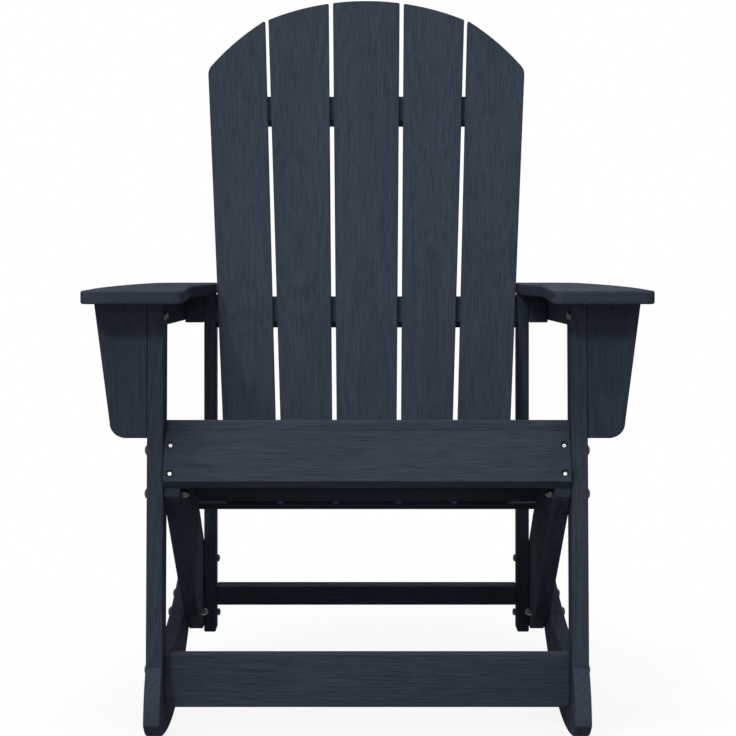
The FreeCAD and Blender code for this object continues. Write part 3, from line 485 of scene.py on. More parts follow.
@dataclass(frozen=True)
class FastenerSteel:
    """Steel of bolts, nuts and screws, with its brushing and its stains."""

    name: str = "fastener_steel"
    base: Colour = (0.62, 0.61, 0.58)
    stain: Colour = (0.40, 0.36, 0.31)
    roughness: float = 0.24
    brush_width: float = 0.00025
    depth: float = 0.00003

    def make(self, effects: SharedEffects) -> bpy.types.Material:
        """Builds the material.

        Args:
            effects: The shared groups.

        Returns:
            The material.
        """
        material, graph, shader = new_material(self.name)
        steel = graph.place(effects.steel, {"Brush Width": self.brush_width, "Roughness": self.roughness}).outputs
        share = graph.math("MULTIPLY", steel["Stain"], 0.25)
        graph.feed(shader.inputs["Base Color"], graph.mix(share, rgba(self.base), rgba(self.stain)))
        graph.feed(shader.inputs["Roughness"], steel["Roughness"])
        shader.inputs["Metallic"].default_value = 1.0
        bump = graph.add("ShaderNodeBump", {"Height": steel["Height"], "Distance": self.depth, "Strength": 0.6})
        graph.feed(shader.inputs["Normal"], bump.outputs[0])
        return material


def clean_mesh(node: str, name: str) -> bpy.types.Mesh:
    """Copies the shape of a frame node as one closed mesh with its doubles merged.

    Args:
        node: The node's name.
        name: The new mesh's name.

    Returns:
        The new mesh.
    """
    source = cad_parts[node].data
    mesh = bpy.data.meshes.new(name)
    mesh.from_pydata([v.co for v in source.vertices], [], [tuple(p.vertices) for p in source.polygons])
    build = bmesh.new()
    build.from_mesh(mesh)
    bmesh.ops.remove_doubles(build, verts=build.verts, dist=MERGE_DISTANCE)
    bmesh.ops.dissolve_degenerate(build, edges=build.edges, dist=MERGE_DISTANCE)
    build.to_mesh(mesh)
    build.free()
    return mesh


def vertex_places(mesh: bpy.types.Mesh) -> np.ndarray:
    """A mesh's points as rows of three numbers."""
    places = np.empty(len(mesh.vertices) * 3)
    mesh.vertices.foreach_get("co", places)
    return places.reshape(-1, 3)


def face_normals(mesh: bpy.types.Mesh) -> tuple[np.ndarray, np.ndarray]:
    """The direction and area of each face of a mesh."""
    normals = np.empty(len(mesh.polygons) * 3)
    areas = np.empty(len(mesh.polygons))
    mesh.polygons.foreach_get("normal", normals)
    mesh.polygons.foreach_get("area", areas)
    return normals.reshape(-1, 3), areas


@dataclass(frozen=True)
class BoardAxes:
    """A board's own directions, read from its faces, and its middle."""

    along: np.ndarray
    across: np.ndarray
    through: np.ndarray
    middle: np.ndarray

    @staticmethod
    def main_direction(normals: np.ndarray, areas: np.ndarray, spread: float) -> np.ndarray:
        """The direction that the most surface faces, either way round.

        Args:
            normals: The faces' directions.
            areas: The faces' areas.
            spread: The angle within which faces count as one direction.

        Returns:
            The mean direction of those faces.
        """
        choices = normals[np.argsort(-areas)[:40]]
        likeness = choices @ normals.T
        near = np.abs(likeness) > math.cos(spread)
        best = int(np.argmax((near * areas).sum(axis=1)))
        turned = normals * np.sign(likeness[best])[:, None]
        mean = (turned * (areas * near[best])[:, None]).sum(axis=0)
        return mean / np.linalg.norm(mean)

    @classmethod
    def of(cls, mesh: bpy.types.Mesh) -> "BoardAxes":
        """Reads the directions of a board: through its broad faces, and across its long sides.

        Args:
            mesh: The board.

        Returns:
            Its directions.
        """
        normals, areas = face_normals(mesh)
        through = cls.main_direction(normals, areas, math.radians(3))
        sides = np.abs(normals @ through) < 0.2
        across = cls.main_direction(normals[sides], areas[sides], math.radians(14))
        across = across - through * (across @ through)
        across = across / np.linalg.norm(across)
        places = vertex_places(mesh)
        return cls(np.cross(across, through), across, through, (places.min(axis=0) + places.max(axis=0)) / 2)

    def rows(self) -> np.ndarray:
        """The three directions as rows."""
        return np.array([self.along, self.across, self.through])


def write_attribute(mesh: bpy.types.Mesh, name: str, domain: str, values: np.ndarray) -> None:
    """Stores a vector for each point or face of a mesh.

    Args:
        mesh: The mesh.
        name: The attribute's name.
        domain: POINT or FACE.
        values: One row for each.
    """
    layer = mesh.attributes.new(name, "FLOAT_VECTOR", domain)
    layer.data.foreach_set("vector", values.astype(np.float32).ravel())


def mark_grain(mesh: bpy.types.Mesh, seeds: np.ndarray) -> None:
    """Gives a board, or a row of like boards, the attributes that its finish reads.

    Args:
        mesh: The board.
        seeds: For each point a number that sets its board's stretch of grain apart.
    """
    axes = BoardAxes.of(mesh)
    places = (vertex_places(mesh) - axes.middle) @ axes.rows().T
    write_attribute(mesh, "grain", "POINT", places + seeds[:, None] * np.array([1.37, 0.53, 0.29]))
    write_attribute(mesh, "heart", "POINT", places)
    normals, _ = face_normals(mesh)
    write_attribute(mesh, "facing", "FACE", np.abs(normals @ axes.rows().T))


def shade(piece: bpy.types.Object, weighted: bool) -> None:
    """Smooths a piece up to its sharp edges.

    Args:
        piece: The piece.
        weighted: Whether broad faces stay flat beside rounded edges, as on boards.
    """
    mesh = piece.data
    mesh.shade_smooth()
    mesh.set_sharp_from_angle(angle=SMOOTH_ANGLE)
    if not weighted:
        return
    modifier = piece.modifiers.new("weighted", "WEIGHTED_NORMAL")
    modifier.keep_sharp = True
    modifier.weight = 80
    settle(piece)


def settle(piece: bpy.types.Object) -> None:
    """Turns a piece and its modifiers into one plain mesh.

    Args:
        piece: The piece.
    """
    bpy.context.view_layer.update()
    graph = bpy.context.evaluated_depsgraph_get()
    made = bpy.data.meshes.new_from_object(piece.evaluated_get(graph), preserve_all_data_layers=True,
                                           depsgraph=graph)
    made.name = piece.name
    piece.modifiers.clear()
    piece.data = made


def new_piece(name: str, mesh: bpy.types.Mesh) -> bpy.types.Object:
    """Puts a mesh into the scene as a piece at the origin."""
    piece = bpy.data.objects.new(name, mesh)
    bpy.context.scene.collection.objects.link(piece)
    return piece


def hand_over(piece: bpy.types.Object, nodes: Sequence[str]) -> None:
    """Puts a finished piece under its body and hides the frame nodes that it stands for.

    Args:
        piece: The piece.
        nodes: The frame nodes that it replaces.
    """
    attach(piece, BODY)
    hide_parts(*nodes)
    LOG.info("%s: %d faces for %s", piece.name, len(piece.data.polygons), ", ".join(nodes))


@dataclass
class BoardWork:
    """Boards that keep the frame's shape and get the lumber finish."""

    lumber: bpy.types.Material
    first_seed: int
    nodes: tuple[str, ...]

    def build(self) -> list[bpy.types.Object]:
        """Makes and dresses each board.

        Returns:
            The finished pieces.
        """
        return [self.board(node, self.first_seed + number) for number, node in enumerate(self.nodes)]

    def board(self, node: str, seed: int) -> bpy.types.Object:
        """One board.

        Args:
            node: The frame node that it follows.
            seed: Sets its stretch of grain apart.

        Returns:
            The finished piece.
        """
        mesh = clean_mesh(node, node + "_board")
        mark_grain(mesh, np.full(len(mesh.vertices), float(seed)))
        piece = new_piece(node + "_board", mesh)
        mesh.materials.append(self.lumber)
        shade(piece, weighted=True)
        hand_over(piece, [node])
        return piece


def both(name: str) -> tuple[str, str]:
    """The names of a piece on the right and on the left."""
    return "right_" + name, "left_" + name


@dataclass
class Rockers(BoardWork):
    """The two curved runners, the legs halved into them and the stretchers."""

    first_seed: int = 1
    nodes: tuple[str, ...] = (*both("runner"), *both("front_leg"), "front_stretcher", "rear_stretcher")


@dataclass
class ArmFrames(BoardWork):
    """The wide arms with the uprights, brackets, blocks and rails that carry them."""

    first_seed: int = 11
    nodes: tuple[str, ...] = (*both("arm"), *both("rear_upright"), *both("arm_bracket"), *both("arm_block"),
                              *both("arm_rail"))


@dataclass
class FanBack(BoardWork):
    """The five slats that fan out under an arch, and the three rails behind them."""

    first_seed: int = 31
    nodes: tuple[str, ...] = ("middle_back_slat", *both("inner_back_slat"), *both("outer_back_slat"),
                              "lower_back_rail", "middle_back_rail", "upper_back_rail")


@dataclass
class SeatFrame(BoardWork):
    """The sloping seat rails, the apron and the rounded front slat."""

    first_seed: int = 51
    nodes: tuple[str, ...] = (*both("seat_rail"), "seat_apron", "seat_slat_1")


@dataclass(frozen=True)
class BoardSize:
    """A plain board's size and place, measured in its own directions."""

    length: float
    width: float
    thickness: float
    middle: Vector
    slope: float

    @classmethod
    def of(cls, node: str) -> "BoardSize":
        """Measures a board that lies across the chair.

        Args:
            node: The frame node.

        Returns:
            Its size and place.
        """
        mesh = clean_mesh(node, "measure")
        axes = BoardAxes.of(mesh)
        through = axes.through * np.sign(axes.through[2])
        back = np.cross(through, [1.0, 0.0, 0.0])
        places = vertex_places(mesh)
        bpy.data.meshes.remove(mesh)
        spans = [places @ way for way in (np.array([1.0, 0.0, 0.0]), back, through)]
        sizes = [float(span.max() - span.min()) for span in spans]
        centre = sum(way * (span.max() + span.min()) / 2
                     for way, span in zip((np.array([1.0, 0.0, 0.0]), back, through), spans))
        return cls(*sizes, Vector(centre), math.atan2(through[1], through[2]))


def rounded_board() -> Graph:
    """A board with rounded edges, from a cube whose outer rows of points are drawn onto the rounding.

    Returns:
        A group that gives the board, centred on the origin.
    """
    graph = Graph.group(
        "rounded_board", TreeKind.GEOMETRY,
        [("Size", Socket.VECTOR), ("Rounding", Socket.NUMBER, 0.0025)], [("Board", Socket.GEOMETRY)])
    rows = 6
    inner_row = 0.2
    cube = graph.add("GeometryNodeMeshCube", {"Size": (2.0, 2.0, 2.0), "Vertices X": rows, "Vertices Y": rows,
                                              "Vertices Z": rows}).outputs["Mesh"]
    place = graph.add("GeometryNodeInputPosition").outputs[0]
    side = graph.vector("SIGN", place)
    rate = math.pi / 4 / (1 - inner_row)
    turn = graph.vector("MULTIPLY_ADD", graph.vector("ABSOLUTE", place), (rate,) * 3, (-inner_row * rate,) * 3)
    way = graph.vector("NORMALIZE", graph.vector("MULTIPLY", side, graph.vector("TANGENT", turn)))
    radius = graph.given("Rounding")
    inner = graph.vector("SUBTRACT", graph.vector("SCALE", graph.given("Size"), 0.5), radius)
    corner = graph.vector("MULTIPLY", side, inner)
    target = graph.vector("ADD", corner, graph.vector("SCALE", way, radius))
    graph.give("Board", graph.add("GeometryNodeSetPosition", {"Geometry": cube, "Position": target}).outputs[0])
    return graph


@dataclass
class SeatSlats:
    """The plain seat slats behind the front one, a row of like boards on the seat's slope."""

    lumber: bpy.types.Material
    screw_head: float
    nodes: tuple[str, ...] = ("seat_slat_2", "seat_slat_3", "seat_slat_4", "seat_slat_5")
    rounding: float = 2.5 * MILLIMETRE
    pocket_depth: float = 2.7 * MILLIMETRE
    pocket_gap: float = 0.25 * MILLIMETRE
    first_seed: int = 71

    def tree(self) -> Graph:
        """The node tree that lays the row.

        Returns:
            A group with the board's size, its screw pockets and the row's step as inputs.
        """
        graph = Graph.group(
            "seat_slats", TreeKind.GEOMETRY,
            [("Geometry", Socket.GEOMETRY), ("Size", Socket.VECTOR), ("Rounding", Socket.NUMBER, 0.0025),
             ("Count", Socket.WHOLE, 4), ("Step", Socket.VECTOR), ("Start", Socket.VECTOR),
             ("Slope", Socket.VECTOR), ("Screw Reach", Socket.VECTOR), ("Pocket Radius", Socket.NUMBER, 0.004),
             ("Pocket Depth", Socket.NUMBER, 0.003), ("Lumber", Socket.MATERIAL)],
            [("Geometry", Socket.GEOMETRY)])
        given = graph.given
        board = graph.place(rounded_board(), {"Size": given("Size"), "Rounding": given("Rounding")}).outputs[0]
        reach = graph.add("ShaderNodeSeparateXYZ", {0: given("Screw Reach")}).outputs
        grid = graph.add("GeometryNodeMeshGrid", {"Size X": reach[0], "Size Y": reach[1], "Vertices X": 2,
                                                  "Vertices Y": 2}).outputs["Mesh"]
        deep = graph.math("MULTIPLY", given("Pocket Depth"), 2.0)
        narrow = graph.math("MULTIPLY", given("Pocket Radius"), 0.5)
        wide = graph.math("MULTIPLY", given("Pocket Radius"), 1.5)
        cone = graph.add("GeometryNodeMeshCone", {"Vertices": 32, "Radius Top": wide, "Radius Bottom": narrow,
                                                  "Depth": deep}).outputs["Mesh"]
        half = graph.math("MULTIPLY", graph.add("ShaderNodeSeparateXYZ", {0: given("Size")}).outputs[2], 0.5)
        lift = graph.math("SUBTRACT", half, given("Pocket Depth"))
        cone = graph.add("GeometryNodeTransform", {
            "Geometry": cone, "Translation": graph.add("ShaderNodeCombineXYZ", {2: lift}).outputs[0]}).outputs[0]
        cutters = graph.add("GeometryNodeInstanceOnPoints", {"Points": grid, "Instance": cone}).outputs[0]
        cut = graph.add("GeometryNodeMeshBoolean", {"Mesh 1": board}, operation="DIFFERENCE", solver="EXACT")
        graph.feed(cut.inputs["Mesh 2"], graph.add("GeometryNodeRealizeInstances", {0: cutters}).outputs[0])
        line = graph.add("GeometryNodeMeshLine", {"Count": given("Count"), "Start Location": (0.0, 0.0, 0.0),
                                                  "Offset": given("Step")}).outputs[0]
        row = graph.add("GeometryNodeInstanceOnPoints", {"Points": line, "Instance": cut.outputs[0]}).outputs[0]
        number = graph.add("GeometryNodeInputIndex").outputs[0]
        row = graph.add("GeometryNodeStoreNamedAttribute", {"Geometry": row, "Name": "board_number"},
                        data_type="FLOAT", domain="INSTANCE")
        graph.feed(row.inputs["Value"], number)
        solid = graph.add("GeometryNodeRealizeInstances", {0: row.outputs[0]}).outputs[0]
        laid = graph.add("GeometryNodeTransform", {
            "Geometry": solid, "Translation": given("Start"), "Rotation": given("Slope")}).outputs[0]
        graph.give("Geometry", graph.add("GeometryNodeSetMaterial", {
            "Geometry": laid, "Material": given("Lumber")}).outputs[0])
        return graph

    def build(self) -> bpy.types.Object:
        """Makes and dresses the row.

        Returns:
            The finished piece.
        """
        first = BoardSize.of(self.nodes[0])
        last = BoardSize.of(self.nodes[-1])
        step = (last.middle - first.middle).length / (len(self.nodes) - 1)
        heads = [screw for screw in Fastener.all_of("seat_screws")]
        reach = 2 * abs(heads[0].seat.x)
        own = sorted({round((h.seat - first.middle).dot(Vector((0, math.cos(first.slope), -math.sin(first.slope)))), 4)
                      for h in heads}, key=abs)
        spacing = abs(own[0]) + abs(own[1])
        piece = new_piece("seat_slats", bpy.data.meshes.new("seat_slats"))
        run_tree(piece, self.tree(), {
            "Size": (first.length, first.width, first.thickness), "Rounding": self.rounding,
            "Count": len(self.nodes), "Step": (0.0, step, 0.0), "Start": tuple(first.middle),
            "Slope": (-first.slope, 0.0, 0.0), "Screw Reach": (reach, spacing, 0.0),
            "Pocket Radius": self.screw_head + self.pocket_gap, "Pocket Depth": self.pocket_depth,
            "Lumber": self.lumber})
        mesh = piece.data
        numbers = np.empty(len(mesh.vertices))
        mesh.attributes["board_number"].data.foreach_get("value", numbers)
        mark_grain(mesh, numbers + self.first_seed)
        shade(piece, weighted=True)
        hand_over(piece, self.nodes)
        return piece


def run_tree(piece: bpy.types.Object, graph: Graph, values: dict[str, Feed]) -> None:
    """Runs a node tree on a piece and keeps its result as a plain mesh.

    Args:
        piece: The piece, with the tree's starting mesh.
        graph: The tree.
        values: A value for each named input.
    """
    modifier = piece.modifiers.new("tree", "NODES")
    modifier.node_group = graph.tree
    for item in graph.tree.interface.items_tree:
        if item.in_out == "INPUT" and item.name in values:
            modifier[item.identifier] = values[item.name]
    settle(piece)


@dataclass(frozen=True)
class Fastener:
    """One fastener's place and sizes, measured on its solid in the frame."""

    seat: Vector
    axis: Vector
    head_radius: float
    head_height: float
    shank_radius: float
    length: float

    @classmethod
    def all_of(cls, node: str, along_x: bool = False) -> list["Fastener"]:
        """Measures every solid of a fastener node.

        Args:
            node: The frame node.
            along_x: Whether the fasteners are known to lie along X, as nuts and washers do.

        Returns:
            One entry for each solid.
        """
        mesh = clean_mesh(node, "measure")
        build = bmesh.new()
        build.from_mesh(mesh)
        bpy.data.meshes.remove(mesh)
        found = [cls.measured(verts, faces, along_x) for verts, faces in islands(build)]
        build.free()
        return found

    @classmethod
    def measured(cls, verts: list[bmesh.types.BMVert], faces: list[bmesh.types.BMFace],
                 along_x: bool) -> "Fastener":
        """Measures one solid of revolution.

        Args:
            verts: Its points.
            faces: Its faces.
            along_x: Whether its axis is X, pointing inwards.

        Returns:
            Its place and sizes, with the axis pointing from its head to its tip.
        """
        places = np.array([v.co for v in verts])
        middle = (places.min(axis=0) + places.max(axis=0)) / 2
        if along_x:
            axis = np.array([-math.copysign(1.0, middle[0]), 0.0, 0.0])
        else:
            spread = sum(np.outer(f.normal, f.normal) * f.calc_area() for f in faces)
            axis = np.linalg.eigh(spread)[1][:, 0]
        reach = (places - places.mean(axis=0)) @ axis
        middle = places.mean(axis=0) + axis * (reach.max() + reach.min()) / 2
        centre = middle
        for _ in range(3):
            away = places - centre
            flat = away - np.outer(away @ axis, axis)
            wide = flat[np.linalg.norm(flat, axis=1) > 0.97 * np.linalg.norm(flat, axis=1).max()]
            centre = centre + (wide.max(axis=0) + wide.min(axis=0)) / 2
        away = places - centre
        reach = away @ axis
        radii = np.linalg.norm(away - np.outer(reach, axis), axis=1)
        rim = float(np.median(reach[radii > 0.98 * radii.max()]))
        if not along_x and reach.max() - rim < rim - reach.min():
            axis, reach, rim = -axis, -reach, -rim
        if along_x:
            rim = float(reach.min())
        tip = radii[reach > reach.max() - 1e-4]
        shank = float(tip.max()) if not along_x else float(radii.min())
        return cls(Vector(centre + axis * rim), Vector(axis), float(radii.max()), float(rim - reach.min()),
                   shank, float(reach.max() - rim))


def islands(build: bmesh.types.BMesh) -> Iterable[tuple[list, list]]:
    """Splits a mesh into its separate solids.

    Args:
        build: The mesh.

    Yields:
        The points and faces of each solid.
    """
    seen: set[int] = set()
    for start in build.verts:
        if start.index in seen:
            continue
        seen.add(start.index)
        waiting = [start]
        verts: list[bmesh.types.BMVert] = []
        while waiting:
            vert = waiting.pop()
            verts.append(vert)
            for edge in vert.link_edges:
                other = edge.other_vert(vert)
                if other.index not in seen:
                    seen.add(other.index)
                    waiting.append(other)
        yield verts, list({face for vert in verts for face in vert.link_faces})


@dataclass(frozen=True)
class Ring:
    """One ring of a turned shape, as shares of its sizes.

    The ring's radius is head * head radius + shank * shank radius, and its distance down the axis
    is reach * length - crown * head height.
    """

    head: float = 0.0
    shank: float = 0.0
    crown: float = 0.0
    reach: float = 0.0


def dome_rings(steps: int) -> tuple[Ring, ...]:
    """Rings of a domed head from its top to its rim."""
    turns = [step / steps * math.pi / 2 for step in range(steps + 1)]
    return tuple(Ring(head=math.sin(turn), crown=math.cos(turn)) for turn in turns)


class Profile(Enum):
    """The turned shapes of the fasteners, from the top of the head to the tip."""

    DOMED_BOLT = (*dome_rings(7), Ring(shank=1), Ring(shank=1, reach=0.97), Ring(shank=0.75, reach=1), Ring(reach=1))
    FLAT_SCREW = (Ring(), Ring(head=0.94), Ring(head=1, reach=0.004), Ring(shank=1, reach=0.07),
                  Ring(shank=1, reach=0.86), Ring(reach=1))
    WASHER = (Ring(shank=1), Ring(head=0.93), Ring(head=1, reach=0.2), Ring(head=1, reach=0.8),
              Ring(head=0.93, reach=1), Ring(shank=1, reach=1), Ring(shank=1))
    NUT_FOOT = (Ring(), Ring(head=0.93), Ring(head=1, reach=0.08), Ring(head=1, reach=0.92),
                Ring(head=0.93, reach=1), Ring(reach=1))
    NUT_DOME = (Ring(), Ring(shank=1), *(Ring(shank=ring.head, reach=ring.crown) for ring in dome_rings(7)[::-1]))


def turned_shape(profile: Profile) -> Graph:
    """A turned shape whose rings follow a profile, from a tube whose rows of points are moved.

    Args:
        profile: The rings.

    Returns:
        A group with the shape's sizes as inputs.
    """
    graph = Graph.group(
        "turned_" + profile.name.lower(), TreeKind.GEOMETRY,
        [("Sides", Socket.WHOLE, 28), ("Head Radius", Socket.NUMBER), ("Head Height", Socket.NUMBER),
         ("Shank Radius", Socket.NUMBER), ("Length", Socket.NUMBER)], [("Shape", Socket.GEOMETRY)])
    rings = profile.value
    tube = graph.add("GeometryNodeMeshCylinder", {
        "Vertices": graph.given("Sides"), "Side Segments": len(rings) - 1, "Radius": 1.0, "Depth": 1.0},
        fill_type="NONE").outputs["Mesh"]
    place = graph.add("GeometryNodeInputPosition").outputs[0]
    up = graph.add("ShaderNodeSeparateXYZ", {0: place}).outputs[2]
    number = graph.math("ROUND", graph.math("MULTIPLY", graph.math("ADD", up, 0.5), float(len(rings) - 1)))
    widths = [(ring.head, ring.shank, 0.0) for ring in rings]
    depths = [(-ring.crown, ring.reach, 0.0) for ring in rings]
    sizes = graph.add("ShaderNodeCombineXYZ", {0: graph.given("Head Radius"), 1: graph.given("Shank Radius")})
    spans = graph.add("ShaderNodeCombineXYZ", {0: graph.given("Head Height"), 1: graph.given("Length")})
    radius = graph.vector("DOT_PRODUCT", switch_of(graph, number, widths), sizes.outputs[0], number=True)
    depth = graph.vector("DOT_PRODUCT", switch_of(graph, number, depths), spans.outputs[0], number=True)
    out = graph.vector("SCALE", graph.vector("MULTIPLY", place, (1.0, 1.0, 0.0)), radius)
    target = graph.vector("ADD", out, graph.add("ShaderNodeCombineXYZ", {2: depth}).outputs[0])
    moved = graph.add("GeometryNodeSetPosition", {"Geometry": tube, "Position": target}).outputs[0]
    closed = graph.add("GeometryNodeMergeByDistance", {"Geometry": moved, "Distance": 1e-6}).outputs[0]
    graph.give("Shape", closed)
    return graph


def switch_of(graph: Graph, number: bpy.types.NodeSocket, values: Sequence[tuple]) -> bpy.types.NodeSocket:
    """Picks one of several vectors by its number.

    Args:
        graph: The tree.
        number: Which one.
        values: The vectors.

    Returns:
        The output.
    """
    node = graph.add("GeometryNodeIndexSwitch", data_type="VECTOR")
    while len(node.index_switch_items) < len(values):
        node.index_switch_items.new()
    graph.feed(node.inputs["Index"], number)
    for place, value in enumerate(values):
        graph.feed(node.inputs[place + 1], value)
    return node.outputs[0]


def drive_cutter(graph: Graph, drive: Drive) -> bpy.types.NodeSocket:
    """The shape that is cut out of a head for its tool.

    Args:
        graph: The fastener's tree.
        drive: Which shape.

    Returns:
        The cutter, centred on the top of the head.
    """
    radius = graph.given("Head Radius")
    depth = graph.given("Drive Depth")
    if drive is Drive.HEXAGON:
        feeds = {"Vertices": 6, "Radius": graph.math("MULTIPLY", radius, 0.36), "Depth": depth}
        return graph.add("GeometryNodeMeshCylinder", feeds).outputs["Mesh"]
    join = graph.add("GeometryNodeMeshBoolean", operation="UNION", solver="EXACT")
    wide = graph.math("MULTIPLY", radius, 1.15)
    narrow = graph.math("MULTIPLY", radius, 0.26)
    for first, second in ((wide, narrow), (narrow, wide)):
        size = graph.add("ShaderNodeCombineXYZ", {0: first, 1: second, 2: depth}).outputs[0]
        graph.feed(join.inputs["Mesh 2"], graph.add("GeometryNodeMeshCube", {"Size": size}).outputs["Mesh"])
    return join.outputs[0]


def fastener_tree(name: str, profiles: Sequence[tuple[Profile, int]], drive: Drive) -> Graph:
    """The tree that puts one kind of fastener at each of its places.

    Args:
        name: The tree's name.
        profiles: The turned shapes that make it up, each with its number of sides.
        drive: What is cut into its head.

    Returns:
        A group with the fastener's sizes as inputs; each point's "axis" turns its copy.
    """
    graph = Graph.group(
        name, TreeKind.GEOMETRY,
        [("Geometry", Socket.GEOMETRY), ("Head Radius", Socket.NUMBER), ("Head Height", Socket.NUMBER),
         ("Shank Radius", Socket.NUMBER), ("Length", Socket.NUMBER), ("Foot Share", Socket.NUMBER, 1.0),
         ("Drive Depth", Socket.NUMBER), ("Steel", Socket.MATERIAL)], [("Geometry", Socket.GEOMETRY)])
    given = graph.given
    join = graph.add("GeometryNodeJoinGeometry")
    foot = graph.math("MULTIPLY", given("Length"), given("Foot Share"))
    for profile, sides in profiles:
        is_dome = profile is Profile.NUT_DOME
        length = graph.math("SUBTRACT", given("Length"), foot) if is_dome else foot
        shape = graph.place(turned_shape(profile), {
            "Sides": sides, "Head Radius": given("Head Radius"), "Head Height": given("Head Height"),
            "Shank Radius": given("Shank Radius"), "Length": length}).outputs[0]
        if is_dome:
            lift = graph.add("ShaderNodeCombineXYZ", {2: graph.math("MULTIPLY", foot, 0.999)}).outputs[0]
            shape = graph.add("GeometryNodeTransform", {"Geometry": shape, "Translation": lift}).outputs[0]
        graph.feed(join.inputs[0], shape)
    solid = join.outputs[0]
    if drive is not Drive.NONE:
        top = graph.add("ShaderNodeCombineXYZ", {2: graph.math("MULTIPLY", given("Head Height"), -1.0)}).outputs[0]
        cutter = graph.add("GeometryNodeTransform", {"Geometry": drive_cutter(graph, drive), "Translation": top})
        cut = graph.add("GeometryNodeMeshBoolean", {"Mesh 1": solid}, operation="DIFFERENCE", solver="EXACT")
        graph.feed(cut.inputs["Mesh 2"], cutter.outputs[0])
        solid = cut.outputs[0]
    axis = graph.add("GeometryNodeInputNamedAttribute", {"Name": "axis"}, data_type="FLOAT_VECTOR").outputs[0]
    turn = graph.add("FunctionNodeAlignRotationToVector", {"Vector": axis}, axis="Z").outputs[0]
    row = graph.add("GeometryNodeInstanceOnPoints", {
        "Points": given("Geometry"), "Instance": solid, "Rotation": turn}).outputs[0]
    solid = graph.add("GeometryNodeRealizeInstances", {0: row}).outputs[0]
    graph.give("Geometry", graph.add("GeometryNodeSetMaterial", {
        "Geometry": solid, "Material": given("Steel")}).outputs[0])
    return graph


@dataclass(frozen=True)
class TrimHead:
    """A small flat head that lies a little below the rim of a countersink cut for a wider one."""

    radius: float = 2.6 * MILLIMETRE
    sink: float = 0.4 * MILLIMETRE

    def sunk(self, screw: Fastener) -> Fastener:
        """The screw with its smaller head, a little further in."""
        return replace(screw, seat=screw.seat + screw.axis * self.sink, head_radius=self.radius,
                       length=screw.length - self.sink)


@dataclass(frozen=True)
class FastenerKind:
    """How one kind of fastener is drawn, and the frame nodes that hold it."""

    name: str
    profiles: tuple[tuple[Profile, int], ...]
    drive: Drive
    drive_depth: float
    nodes: tuple[str, ...]
    along_x: bool = False
    foot_share: float = 1.0
    trim: TrimHead | None = None


DOMED = ((Profile.DOMED_BOLT, 32),)
FLAT = ((Profile.FLAT_SCREW, 24),)
ROUND_WASHER = ((Profile.WASHER, 32),)
DOME_NUT = ((Profile.NUT_FOOT, 6), (Profile.NUT_DOME, 28))


@dataclass
class Hardware:
    """All the fasteners, each node's solids measured in the frame and drawn by one tree a kind."""

    steel: bpy.types.Material
    # A darker copy of the steel: its dark base colour is painted shade for the dark surroundings that bare steel
    # reflects.
    shade_painted_steel: bpy.types.Material
    kinds: tuple[FastenerKind, ...] = field(default_factory=lambda: (
        FastenerKind("domed_bolts", DOMED, Drive.HEXAGON, 5.0 * MILLIMETRE,
                     ("side_bolts", "upright_bolts", "front_stretcher_lags", "rear_stretcher_lags",
                      "bracket_lags")),
        FastenerKind("flat_screws", FLAT, Drive.CROSS, 3.2 * MILLIMETRE,
                     ("apron_screws", "seat_screws", "back_screws", "rail_end_screws", "rail_foot_screws",
                      "arm_screws", "arm_block_screws"), trim=TrimHead()),
        FastenerKind("washers", ROUND_WASHER, Drive.NONE, 0.0, ("side_washers", "upright_washers"), True),
        FastenerKind("side_dome_nuts", DOME_NUT, Drive.NONE, 0.0, ("side_nuts",), True, 0.565),
        FastenerKind("upright_dome_nuts", DOME_NUT, Drive.NONE, 0.0, ("upright_nuts",), True, 0.70)))

    def build(self) -> None:
        """Makes each kind of fastener at all its places."""
        for kind in self.kinds:
            tree = fastener_tree(kind.name, kind.profiles, kind.drive)
            for node in kind.nodes:
                self.place(kind, tree, node)

    def place(self, kind: FastenerKind, tree: Graph, node: str) -> None:
        """Makes one node's fasteners.

        Args:
            kind: How they are drawn.
            tree: Their node tree.
            node: The frame node.
        """
        found = Fastener.all_of(node, kind.along_x)
        if kind.trim:
            found = [kind.trim.sunk(screw) for screw in found]
        mesh = bpy.data.meshes.new(node + "_steel")
        mesh.from_pydata([item.seat for item in found], [], [])
        write_attribute(mesh, "axis", "POINT", np.array([item.axis for item in found]))
        piece = new_piece(node + "_steel", mesh)
        first = found[0]
        run_tree(piece, tree, {
            "Head Radius": first.head_radius, "Head Height": first.head_height,
            "Shank Radius": first.shank_radius if Profile.NUT_DOME not in dict(kind.profiles) else
            first.head_radius * math.cos(math.pi / 6) * 0.96,
            "Length": first.length, "Foot Share": kind.foot_share, "Drive Depth": kind.drive_depth,
            # Screws take the bright steel. The rest take the darker copy, whose dark base colour is painted reflection
            # shade.
            "Steel": self.steel if kind.trim else self.shade_painted_steel})
        shade(piece, weighted=False)
        hand_over(piece, [node])


@dataclass(frozen=True)
class Lamp:
    """A square soft light that looks at the chair's middle."""

    name: str
    place: tuple[float, float, float]
    size: float
    power: float
    colour: Colour = (1.0, 1.0, 1.0)

    def build(self, target: Vector) -> None:
        """Adds the light.

        Args:
            target: What it looks at.
        """
        data = bpy.data.lights.new(self.name, "AREA")
        data.shape = "SQUARE"
        data.size = self.size
        data.energy = self.power
        data.color = self.colour
        lamp = bpy.data.objects.new(self.name, data)
        bpy.context.scene.collection.objects.link(lamp)
        lamp.location = self.place
        lamp.rotation_euler = (target - Vector(self.place)).to_track_quat("-Z", "Y").to_euler()


